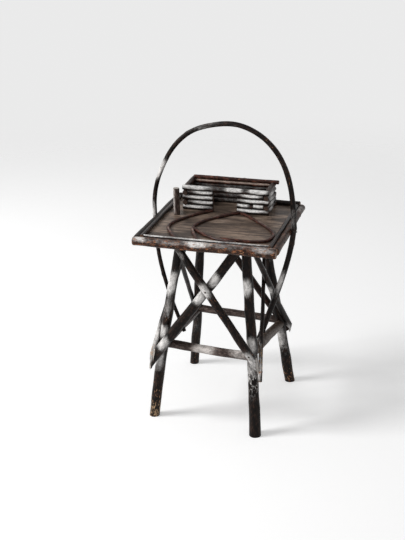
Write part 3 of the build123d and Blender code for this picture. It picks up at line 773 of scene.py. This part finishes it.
# %% Brace places
brace(
    "left_outer_brace", (-107.0, 104.0), (-151.3, -182.2, 160.1), 7.5, 8.5, (0.7, 0, 0),
    scarf=(LEFT, 0, 63), pale=((0.81, 0.08, 0.8), (0.96, 0.05, 0.6)), worn=((0.9, 0.08, 0.9),),
)
brace(
    "front_thick_brace", (80.0, -127.0), (-164.3, -166.3, 154.0), 12, 13.5,
    scarf=(FRONT, 62, 78),
    pale=((0.25, 0.04, 1.15), (0.4, 0.035, 1.15), (0.79, 0.04, 1.1), (0.97, 0.025, 0.9)),
    worn=((0.12, 0.04, 0.4), (0.5, 0.05, 0.4)),
    knots=((0.62, (-0.4, -1, 0.6), 0.0013, 0.007),), sides=40,
)
brace(
    "front_long_brace", (-72.5, -154.0), (145.2, -167.9, 180.3), 10, 11, (0, -2.2, 0),
    scarf=(FRONT, 90, 44),
    pale=((0.05, 0.06, 0.3), (0.34, 0.05, 1.0), (0.9, 0.06, 0.65)), worn=((0.5, 0.3, 0.6), (0.95, 0.1, 0.5)),
    curl=((0.93, 0.05, 0.6),),
    knots=((0.2, (0.6, -1, 0.4), 0.0012, 0.006), (0.62, (0.5, -1, 0.5), 0.0014, 0.006)),
)
brace("left_inner_brace", (-93.0, -115.0), (-133.4, 161.2, 203.2), 6, 6.5, sides=28)
brace(
    "right_inner_brace", (89.0, 115.0), (141.9, -166.6, 151.0), 4.5, 6, sides=28,
    pale=((0.92, 0.06, 1.1), (0.8, 0.04, 0.4)), worn=((0.88, 0.1, 1.0), (0.5, 0.3, 0.4)),
)
brace(
    "right_outer_brace", (107.5, -104.0), (153.6, 174.5, 135.1), 7.5, 8.5, (-3.7, 0, 0),
    scarf=(RIGHT, 0, 68), pale=((0.45, 0.05, 1.0), (0.93, 0.06, 0.9)),
)
brace(
    "rear_inner_brace", (-89.0, 123.5), (143.8, 150.7, 150.5), 9, 10, bark=dark_red_bark,
    base_worn=0.2, pale=((0.3, 0.05, 0.9), (0.8, 0.06, 0.8)), pale_side=REAR,
)
brace(
    "rear_outer_brace", (74.0, 134.5), (-128.3, 167.7, 192.5), 9, 9.5, (0, 2.4, 0),
    pale=((0.35, 0.05, 1.0), (0.9, 0.06, 0.9)), pale_side=REAR,
)
print("sticks so far:", stick_count, "triangles:", triangle_count)

# %% [markdown]
# ## Handle
# One long twig is bent over the tray. Its route is a list of points, and a smooth curve runs near
# them: between the middles of two runs it bends round the point that joins them. It thickens evenly
# from its left end to its right end and carries small knots where side shoots were cut off. A Bezier
# curve would do as well, but each of its points needs two more to steer it, and here none does.

# %% Bent routes
STEPS_IN_A_BEND = 6


def bent(points, start_girth, end_girth, wander=0.0):
    """A smooth route near the points, in metres, with an even change of thickness."""
    points = [Vector(p) for p in points]
    middles = [points[0]] + [(a + b) / 2 for a, b in zip(points[1:-2], points[2:-1])] + [points[-1]]
    route = [points[0]]
    for start, corner, end in zip(middles, points[1:-1], middles[1:]):
        for step in range(1, STEPS_IN_A_BEND + 1):
            t = step / STEPS_IN_A_BEND
            route.append(start * (1 - t) ** 2 + corner * (2 * t * (1 - t)) + end * t**2)
    phases = [chance.uniform(0, 2 * math.pi) for _ in range(3)]
    lengths = np.cumsum([0] + [(b - a).length for a, b in zip(route, route[1:])])
    girths = []
    for index, at in enumerate(lengths):
        share = at / lengths[-1]
        wave = 0.6 * math.sin(at / 29 + phases[0]) + 0.4 * math.sin(at / 12 + phases[1])
        girths.append((start_girth + (end_girth - start_girth) * share) * (1 + 0.03 * (wave - 0.3)) * MM)
        route[index] = route[index] + Vector((0, math.sin(at / 33 + phases[2]), 0)) * wander
    return [place * MM for place in route], girths


HANDLE_POINTS = (
    (-107.2, -8.0, 189.7), (-132.8, -1.5, 243.8), (-161.3, 8.0, 323.4), (-186.4, 18.6, 412.5),
    (-193.2, 30.0, 508.0), (-193.2, 30.0, 560.8), (-177.8, 28.2, 621.5), (-139.1, 23.7, 696.8),
    (-87.0, 17.6, 745.6), (-30.9, 11.1, 765.4), (25.1, 4.6, 774.6), (69.6, -0.6, 768.0),
    (119.8, -6.5, 741.6), (160.4, -11.2, 692.8), (183.6, -13.9, 626.8), (191.3, -14.8, 563.4),
    (193.2, -15.0, 508.0), (176.7, -13.0, 420.2), (145.5, -10.8, 319.9), (102.0, -8.0, 194.5),
)
route, girths = bent(HANDLE_POINTS, 5.1, 7.8, wander=0.8)
# The handle's pale zones stay on the lamp's side as a painted highlight.
make_stick(
    "handle", route, girths, "frame_bark", frame_bark, sides=30, spacing=0.003,
    pale=((0.335, 0.018, 1.1), (0.25, 0.025, 0.5), (0.47, 0.03, 0.25), (0.74, 0.02, 0.3), (0.872, 0.02, 1.0)),
    pale_side=LIT_SIDE,
    worn=((0.61, 0.07, 0.45), (0.7, 0.1, 0.3)),
    knots=(
        (0.425, (0, -0.3, 1), 0.0012, 0.006), (0.76, (1, -0.5, 0), 0.002, 0.006),
        (0.79, (1, -0.2, 0.3), 0.0015, 0.005), (0.12, (-1, -0.4, 0), 0.0012, 0.005),
    ),
)
print("handle:", round(sum((b - a).length for a, b in zip(route, route[1:])), 3), "m of twig")

# %% [markdown]
# ## Tray board
# One board with its grain from left to right, stained grey brown. A board lies straight, so its
# material reads plain object coordinates, and noise that is stretched along the board makes the
# grain. A worn, paler patch lies where the pond is.

# %% Board material
def board_material():
    """Stained wood with grain, dark streaks and a worn patch."""
    material, tree, shader = new_material("stained_board")
    place = add_node(tree, "ShaderNodeTexCoord").outputs["Object"]
    grain_lay = stretched(tree, place, (0.07, 1.0, 1.0))
    broad_lay = stretched(tree, place, (0.3, 1.0, 1.0))
    patch_lay = stretched(tree, place, (11, 15, 0), (-0.062 * 11, 0.065 * 15, 0))
    grain = noise(tree, grain_lay, 420, 5, 0.65)
    streak = noise(tree, grain_lay, 120, 5, 0.62)
    broad = noise(tree, broad_lay, 26, 6, 0.68)
    dust = noise(tree, place, 260, 5, 0.7)
    colour = blend_colours(
        tree, smooth_step(tree, broad, 0.38, 0.62), (0.056, 0.039, 0.029), (0.315, 0.232, 0.178)
    )
    worn_edge = maths(tree, "ADD", length_of(tree, patch_lay), maths(tree, "MULTIPLY", broad, 0.6))
    worn = smooth_step(tree, worn_edge, 1.4, 0.5)
    colour = blend_colours(tree, maths(tree, "MULTIPLY", worn, 0.5), colour, (0.32, 0.225, 0.165))
    dark_streak = maths(tree, "MULTIPLY", smooth_step(tree, streak, 0.52, 0.38), 0.7)
    colour = blend_colours(tree, dark_streak, colour, (0.030, 0.020, 0.016))
    colour = blend_colours(tree, smooth_step(tree, grain, 0.50, 0.36), colour, (0.022, 0.015, 0.012))
    colour = blend_colours(tree, smooth_step(tree, grain, 0.58, 0.70), colour, (0.30, 0.20, 0.14))
    colour = blend_colours(tree, smooth_step(tree, dust, 0.66, 0.74), colour, (0.2, 0.17, 0.15))
    tree.links.new(colour, shader.inputs["Base Color"])
    tree.links.new(maths(tree, "MULTIPLY_ADD", grain, 0.25, 0.33), shader.inputs["Roughness"])
    add_bump(tree, shader, maths(tree, "MULTIPLY_ADD", dust, 0.3, grain), 0.6, 0.0006)
    shader.inputs["Specular IOR Level"].default_value = 0.28
    return material


stained_board = board_material()
print("board material:", stained_board.name)

# %% [markdown]
# The board is a block in the box of its solid, with its edges slightly rounded by a bevel of two
# steps. A sharp edge would catch no light, and a real one is never sharp.

# %% Board mesh
EDGE_ROUND = 1.2 * MM
low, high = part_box("tray_board")
work = bmesh.new()
bmesh.ops.create_cube(work, size=1.0)
for vert in work.verts:
    vert.co = Vector([low[i] if vert.co[i] < 0 else high[i] for i in range(3)])
bmesh.ops.bevel(work, geom=work.edges[:], offset=EDGE_ROUND, segments=2, affect="EDGES", profile=0.6)
for face in work.faces:
    face.smooth = False
board_mesh = bpy.data.meshes.new("tray_board_wood")
work.to_mesh(board_mesh)
work.free()
board_mesh.materials.append(stained_board)
finish_piece("tray_board_wood", board_mesh, "tray_board")
print("board", [round(value, 4) for value in high - low])

# %% [markdown]
# ## Logs and twigs round the tray
# A thick log is nailed to each edge of the board. Thinner twigs lie on the board just inside three of
# them: at the front, left and right. The bark of the front log is chipped all over and rust brown.
# Each log is swept like any stick and then cut by the plane of the board's edge, so its flat lies
# against the board.

# %% Edge logs and rim twigs
def edge_log(node, start, end, start_girth, end_girth, cut, bark=edge_bark, **look):
    """A log along an edge of the board, cut flat where it meets the board."""
    points, girths = wandering(start, end, start_girth, end_girth, wander=0.8)
    make_stick(node, points, girths, "edge_logs", bark, cuts=(cut,), sides=40, **look)


BOARD_HALF_WIDTH, BOARD_HALF_DEPTH = 170.0, 163.0
# The front log's pale band along its upper front is a painted highlight.
edge_log(
    "front_edge_log", (-183, -172, 508), (183, -172, 508), 11.5, 13.5,
    (Vector((0, -BOARD_HALF_DEPTH, 0)) * MM, REAR, BARK_SLOT), base_worn=0.6, base_pale=0.3,
    pale=((0.06, 0.03, 0.4), (0.46, 0.05, 0.95), (0.9, 0.05, 0.25)),
    pale_side=(0, -0.55, 0.9), side_edge=0.35, side_soft=0.6,
    knots=((0.3, (0, -1, 0.2), 0.001, 0.006), (0.7, (0, -1, -0.2), 0.001, 0.006)),
)
edge_log(
    "rear_edge_log", (-170, 171.5, 514), (170, 171.5, 514), 9.5, 10,
    (Vector((0, BOARD_HALF_DEPTH, 0)) * MM, FRONT, BARK_SLOT), bark=frame_bark,
)
edge_log(
    "left_edge_log", (-178, -163, 508), (-175, 170, 508), 10.5, 9.5,
    (Vector((-BOARD_HALF_WIDTH, 0, 0)) * MM, RIGHT, BARK_SLOT), bark=frame_bark, base_worn=0.2,
)
edge_log(
    "right_edge_log", (178, -163, 508), (175, 170, 508), 10.5, 9.5,
    (Vector((BOARD_HALF_WIDTH, 0, 0)) * MM, LEFT, BARK_SLOT), base_worn=0.3,
    pale=((0.9, 0.08, 0.5), (0.3, 0.1, 0.2)),
    knots=((0.82, (1, 0, 0.3), 0.0012, 0.006),),
)


def rim_twig(node, start, end, girth, **look):
    """A thin twig on the board, inside the edge logs."""
    points, girths = wandering(start, end, girth, girth, wander=0.35, swell=0.05)
    make_stick(node, points, girths, "twigs", cabin_bark, sides=24, spacing=0.0025, lump=0.0005,
               ridge=0.0003, **look)


for side, x in (("left", -164), ("right", 164)):
    rim_twig(f"{side}_rim_twig", (x, -161, 516.5), (x, 157, 516.5), 5.2)
# The front twig's pale streaks on its top are a painted highlight.
rim_twig(
    "front_rim_twig", (-164, -154, 515.8), (164, -154, 515.8), 4.5,
    pale=((0.1, 0.12, 0.8), (0.45, 0.16, 0.9), (0.85, 0.14, 0.75)), base_worn=0.3,
    pale_side=(0, -0.2, 0.95), side_edge=0.45, side_soft=0.45,
)
print("sticks so far:", stick_count, "triangles:", triangle_count)

# %% [markdown]
# ## Log cabin
# The cabin is built like a real one: short twigs lie on each other, and at the corners a layer of the
# front wall and a layer of the side wall take turns to run through. Each twig is read from the box of
# its solid: the long side of the box is its axis and half the width its girth. To type in each place
# again would be slower, and the two models could come apart.

# %% Cabin logs
def box_log(node, bark=cabin_bark, axis=None, shrink=0.985, sawn=stained_end, **look):
    """A twig in the box of its node, along the given axis or else the box's longest side."""
    low, high = (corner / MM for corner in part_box(node))
    size = high - low
    axis = max(range(3), key=lambda i: size[i]) if axis is None else axis
    across = [size[i] for i in range(3) if i != axis]
    start, end = (low + high) / 2, (low + high) / 2
    start[axis], end[axis] = low[axis], high[axis]
    girth = max(across) / 2 * shrink
    points, girths = wandering(start, end, girth, girth, wander=0.3, swell=0.03, step=10)
    make_stick(node, points, girths, "cabin_logs", bark, sides=28, spacing=0.002, lump=0.0006,
               ridge=0.0004, ridge_width=0.003, end=sawn, side_edge=0.42, side_soft=0.42, **look)


# The pale on the front and top of the cabin logs and on the left of the gate post is partly silver bark and
# partly a painted highlight.
WALL_LAYERS, BACK_LAYERS = 4, 5
WALL_FRONT = (0, -0.6, 0.8)
for layer in range(1, WALL_LAYERS + 1):
    for part in ("front_left", "front_right"):
        middle, half = chance.uniform(0.4, 0.65), chance.uniform(0.28, 0.4)
        box_log(
            f"cabin_{part}_log_{layer}", pale=((middle, half, 1.15),), pale_side=WALL_FRONT, base_worn=0.4
        )
    box_log(f"cabin_left_log_{layer}", pale=((chance.uniform(0.3, 0.6), 0.2, 0.3),), pale_side=LEFT)
    box_log(
        f"cabin_right_log_{layer}", pale=((chance.uniform(0.3, 0.6), 0.25, 0.7),), pale_side=(1, 0, 0.8)
    )
for layer in range(1, BACK_LAYERS):
    box_log(f"cabin_back_log_{layer}", base_worn=0.3, base_pale=0.2)
box_log(
    f"cabin_back_log_{BACK_LAYERS}", bark=red_bark, shrink=1.0, base_pale=0.6, pale_side=(0, -0.5, 0.8)
)
box_log("cabin_front_corner_log_2", pale=((0.5, 0.5, 1.1),), pale_side=WALL_FRONT)
box_log(
    "cabin_lintel", pale_side=(0, -0.8, 0.6), base_worn=0.3, base_pale=0.15,
    pale=((0.15, 0.13, 0.95), (0.6, 0.065, 1.4), (0.88, 0.08, 1.35)),
)
box_log(
    "cabin_ridge", bark=red_bark, shrink=1.0, base_pale=0.1, base_worn=0.4,
    knots=(
        (0.28, (0, -0.3, 1), 0.0012, 0.003), (0.46, (0, -0.5, 1), 0.001, 0.003),
        (0.6, (0, -0.3, 1), 0.0014, 0.003),
    ),
)
for part in ("left", "right"):
    box_log(f"cabin_{part}_top_log", axis=1, bark=dark_red_bark, pale=((0.4, 0.2, 0.35),), pale_side=UP)
box_log(
    "gate_post", axis=2, bark=smoked_bark, pale=((0.6, 0.5, 0.8),), pale_side=(-0.85, -0.5, 0),
    base_worn=0.3, sawn=split_wood,
)
print("sticks so far:", stick_count, "triangles:", triangle_count)

# %% [markdown]
# ## Paths on the tray
# Four thin mahogany-brown twigs are bent into the edges of a path and of a pond. They are routes like
# the handle's, laid out as shares of the tray between its front rim and the cabin. A route may run on
# under the rim or the cabin, because its twig is cut off where they begin.

# %% Path twigs
PATH_HALF_WIDTH, PATH_FRONT, PATH_BACK = 155.0, -149.5, 70.0
PATH_GIRTH, PATH_LEVEL = 4.15, 515.35


def path_twig(node, outline):
    """A bent twig on the tray: (across from -1 to 1, along from the front rim to the cabin)."""
    points = [
        (across * PATH_HALF_WIDTH, PATH_FRONT + along_tray * (PATH_BACK - PATH_FRONT), PATH_LEVEL)
        for across, along_tray in outline
    ]
    route, girths = bent(points, PATH_GIRTH, PATH_GIRTH)
    cuts = (
        (Vector((0, PATH_BACK, 0)) * MM, REAR, SAWN_SLOT),
        (Vector((0, PATH_FRONT, 0)) * MM, FRONT, SAWN_SLOT),
    )
    # The pale on the top of each path twig is a painted highlight.
    make_stick(node, route, girths, "twigs", red_bark, sides=20, spacing=0.0025, lump=0.0005, ridge=0.0003,
               ridge_width=0.003, cuts=cuts, pale=((0.3, 0.1, 0.3), (0.75, 0.1, 0.3)), pale_side=UP,
               side_edge=0.5, side_soft=0.45, base_pale=0.05)


path_twig("left_path_twig", (
    (-0.26, 1.04), (-0.53, 0.83), (-0.73, 0.60), (-0.82, 0.39), (-0.71, 0.20), (-0.47, -0.03),
))
path_twig("right_path_twig", (
    (0.21, 1.03), (-0.09, 0.83), (-0.32, 0.62), (-0.40, 0.42), (-0.33, 0.24), (-0.12, -0.02),
))
path_twig("right_pond_twig", (
    (0.17, 1.03), (0.42, 0.87), (0.78, 0.61), (0.97, 0.43), (1.0, 0.26), (0.90, 0.13), (0.62, 0.09),
    (0.19, 0.11),
))
path_twig("left_pond_twig", ((-0.37, 0.38), (-0.24, 0.27), (-0.02, 0.14), (0.22, 0.06), (0.47, 0.035)))
print("all sticks:", stick_count, "triangles:", triangle_count)

# %% [markdown]
# ## Nails
# Nails with small domed heads hold the board on the legs, and the braces, the edge logs and the
# handle. Their iron is dark, a little shiny and speckled with rust. A shader that is all metal would
# let the rust shine like bare iron, so its metal share stays below one.

# %% Nail material
def nail_material():
    """Dark iron with specks of rust."""
    material, tree, shader = new_material("nail_iron")
    place = add_node(tree, "ShaderNodeTexCoord").outputs["Object"]
    rust = noise(tree, place, 900, 5, 0.7)
    rusty = smooth_step(tree, rust, 0.45, 0.65)
    colour = blend_colours(tree, rusty, (0.03, 0.028, 0.027), (0.10, 0.05, 0.03))
    tree.links.new(colour, shader.inputs["Base Color"])
    tree.links.new(maths(tree, "MULTIPLY_ADD", rust, 0.4, 0.3), shader.inputs["Roughness"])
    shader.inputs["Metallic"].default_value = 0.7
    add_bump(tree, shader, rust, 0.4, 0.0003)
    return material


nail_iron = nail_material()
print("nail material:", nail_iron.name)

# %% [markdown]
# One tree makes a domed nail, a flattened sphere on a slender cone, and puts it on each point of a
# holder mesh. Each point says in which direction its nail was driven. A repeated part is what
# instances are for, and they are made real at the end.

# %% Nail tree
NAIL_TIP_RADIUS = 0.4 * MM
nail_tree, given, result = new_tree("nails", (
    ("Head Radius", "NodeSocketFloat", 2.5 * MM),
    ("Head Height", "NodeSocketFloat", 0.45 * MM),
    ("Shank Radius", "NodeSocketFloat", 1.3 * MM),
    ("Shank Length", "NodeSocketFloat", 20 * MM),
    ("Iron", "NodeSocketMaterial", None),
))
dome = add_node(
    nail_tree, "GeometryNodeMeshUVSphere", Segments=16, Rings=8, Radius=given["Head Radius"]
).outputs[0]
flatten = add_node(
    nail_tree, "ShaderNodeCombineXYZ", X=1.0, Y=1.0,
    Z=maths(nail_tree, "DIVIDE", given["Head Height"], given["Head Radius"]),
).outputs[0]
dome = add_node(nail_tree, "GeometryNodeTransform", Geometry=dome, Scale=flatten).outputs[0]
shank = add_node(
    nail_tree, "GeometryNodeMeshCone", Vertices=12, Radius_Top=NAIL_TIP_RADIUS,
    Radius_Bottom=given["Shank Radius"], Depth=given["Shank Length"],
).outputs[0]
both = nail_tree.nodes.new("GeometryNodeJoinGeometry")
nail_tree.links.new(dome, both.inputs[0])
nail_tree.links.new(shank, both.inputs[0])
turned = add_node(
    nail_tree, "FunctionNodeAlignRotationToVector", {"axis": "Z"},
    Vector=named(nail_tree, "direction", "FLOAT_VECTOR"),
).outputs[0]
nails = add_node(
    nail_tree, "GeometryNodeInstanceOnPoints",
    Points=given["Geometry"], Instance=both.outputs[0], Rotation=turned,
).outputs[0]
nails = add_node(nail_tree, "GeometryNodeRealizeInstances", Geometry=nails).outputs[0]
nails = add_node(nail_tree, "GeometryNodeSetShadeSmooth", Geometry=nails).outputs[0]
nails = add_node(nail_tree, "GeometryNodeSetMaterial", Geometry=nails, Material=given["Iron"]).outputs[0]
nail_tree.links.new(nails, result[0])
print("nail tree:", len(nail_tree.nodes), "nodes")

# %% [markdown]
# The solid model already has each nail's place, so none is typed in again. A node's mesh is taken
# apart into its separate nails. The longest direction of each is its shank, and its widest end is the
# head.

# %% Find the nails and make them
SAME_POINT = 1e-6
HEAD_SHARE = 0.95


def nail_places(node):
    """The place of each nail's head and the direction in which it was driven."""
    copy = bmesh.new()
    copy.from_mesh(nodes[node].data)
    bmesh.ops.remove_doubles(copy, verts=copy.verts, dist=SAME_POINT)
    places, seen = [], set()
    for vert in copy.verts:
        if vert in seen:
            continue
        island, edge_of_search = {vert}, [vert]
        while edge_of_search:
            current = edge_of_search.pop()
            for edge in current.link_edges:
                neighbour = edge.other_vert(current)
                if neighbour not in island:
                    island.add(neighbour)
                    edge_of_search.append(neighbour)
        seen |= island
        cloud = np.array([v.co for v in island])
        centre = cloud.mean(0)
        _, _, axes = np.linalg.svd(cloud - centre)
        depth = (cloud - centre) @ axes[0]
        spread = np.linalg.norm(cloud - centre - np.outer(depth, axes[0]), axis=1)
        on_head = spread > spread.max() * HEAD_SHARE
        direction = axes[0] if depth[on_head].mean() < 0 else -axes[0]
        places.append((cloud[on_head].mean(0), direction))
    copy.free()
    return places


for node in ("brace_nails", "edge_nails", "handle_nails", "leg_nails"):
    places = nail_places(node)
    holder = bpy.data.meshes.new("nail_places")
    holder.from_pydata([tuple(head) for head, _ in places], [], [])
    attribute = holder.attributes.new("direction", "FLOAT_VECTOR", "POINT")
    attribute.data.foreach_set("vector", np.array([d for _, d in places], np.float32).ravel())
    mesh = made_by(nail_tree, holder, {"Iron": nail_iron})
    finish_piece(f"{node}_iron", mesh, node)
    print(node, len(places), "nails")

# %% [markdown]
# ## Floor, background and light
# The table stands on a white floor. Further out the floor fades away and leaves the pale background
# of the world, so there is no wall and the table can be seen from every side. A large lamp on the
# left makes the soft shadows that run to the right, and the plain pale world fills them. To the
# camera, the floor and the world look brighter than the light that they give, which keeps the
# background pale without washing out the dark bark.

# %% Floor
BACKGROUND_TONE, FLOOR_GLOW = 0.825, 0.345
FLOOR_REACH, FADE_START, FADE_END = 3.2, 1.5, 3.1


def seen_directly(tree):
    """1 for rays that show a surface as it looks: from the camera, in a reflection or through glass."""
    path = add_node(tree, "ShaderNodeLightPath").outputs
    seen = maths(tree, "MAXIMUM", path["Is Camera Ray"], path["Is Glossy Ray"])
    return maths(tree, "MAXIMUM", seen, path["Is Transmission Ray"])


def floor_material():
    """A matt white that is lifted a little for the camera and fades out with the distance."""
    material, tree, shader = new_material("studio_white")
    shader.inputs["Base Color"].default_value = (0.86, 0.86, 0.86, 1)
    shader.inputs["Roughness"].default_value = 0.9
    distance = length_of(tree, add_node(tree, "ShaderNodeTexCoord").outputs["Object"])
    solid = smooth_step(tree, distance, FADE_END, FADE_START)
    tree.links.new(solid, shader.inputs["Alpha"])
    shader.inputs["Emission Color"].default_value = (1, 1, 1, 1)
    glow = maths(tree, "MULTIPLY", seen_directly(tree), FLOOR_GLOW)
    tree.links.new(glow, shader.inputs["Emission Strength"])
    return material


corners = [(x * FLOOR_REACH, y * FLOOR_REACH, 0) for x, y in ((-1, -1), (1, -1), (1, 1), (-1, 1))]
floor_mesh = bpy.data.meshes.new("floor")
floor_mesh.from_pydata(corners, [], [(0, 1, 2, 3)])
floor_mesh.materials.append(floor_material())
floor = placed_object("floor", floor_mesh)
floor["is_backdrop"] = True
print("floor:", 2 * FLOOR_REACH, "m wide, fading out from", FADE_START, "to", FADE_END, "m")

# %% [markdown]
# The key lamp stands on the left and high, and a weak fill lamp on the right lifts the dark side. A
# constraint could aim them, but one direction from a lamp's place to its target does it at once.

# %% Lamps and world
WORLD_FILL = 0.32
world = bpy.data.worlds.new("studio")
world.use_nodes = True
background = world.node_tree.nodes["Background"]
background.inputs["Color"].default_value = (1, 1, 1, 1)
world_level = maths(
    world.node_tree, "MULTIPLY_ADD", seen_directly(world.node_tree), BACKGROUND_TONE - WORLD_FILL, WORLD_FILL
)
world.node_tree.links.new(world_level, background.inputs["Strength"])
bpy.context.scene.world = world


def area_lamp(name, place, target, width, height, watts):
    """A soft rectangular lamp that faces a target, in metres and watts."""
    data = bpy.data.lights.new(name, "AREA")
    data.shape = "RECTANGLE"
    data.size, data.size_y, data.energy = width, height, watts
    lamp = placed_object(name, data)
    lamp.location = place
    lamp.rotation_euler = (Vector(target) - Vector(place)).to_track_quat("-Z", "Y").to_euler()


area_lamp("key", (-2.6, -1.2, 2.4), (0, 0, 0.35), 1.1, 1.1, 95)
area_lamp("fill", (1.8, -3.0, 2.4), (0, 0, 0.4), 2.0, 2.0, 8)
bpy.context.scene.view_settings.view_transform = "Standard"
print("lamps:", [data.name for data in bpy.data.lights])

# %% [markdown]
# ## Print the size and finish
# The dressed table has to keep to the box of the solid model, so both boxes are written down.

# %% Write the boxes and finish
visual_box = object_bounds()
for label, box in (("solid model", cad_box), ("dressed", visual_box)):
    print(label, [[round(value, 4) for value in corner] for corner in box])
print("sticks:", stick_count, "triangles:", triangle_count)
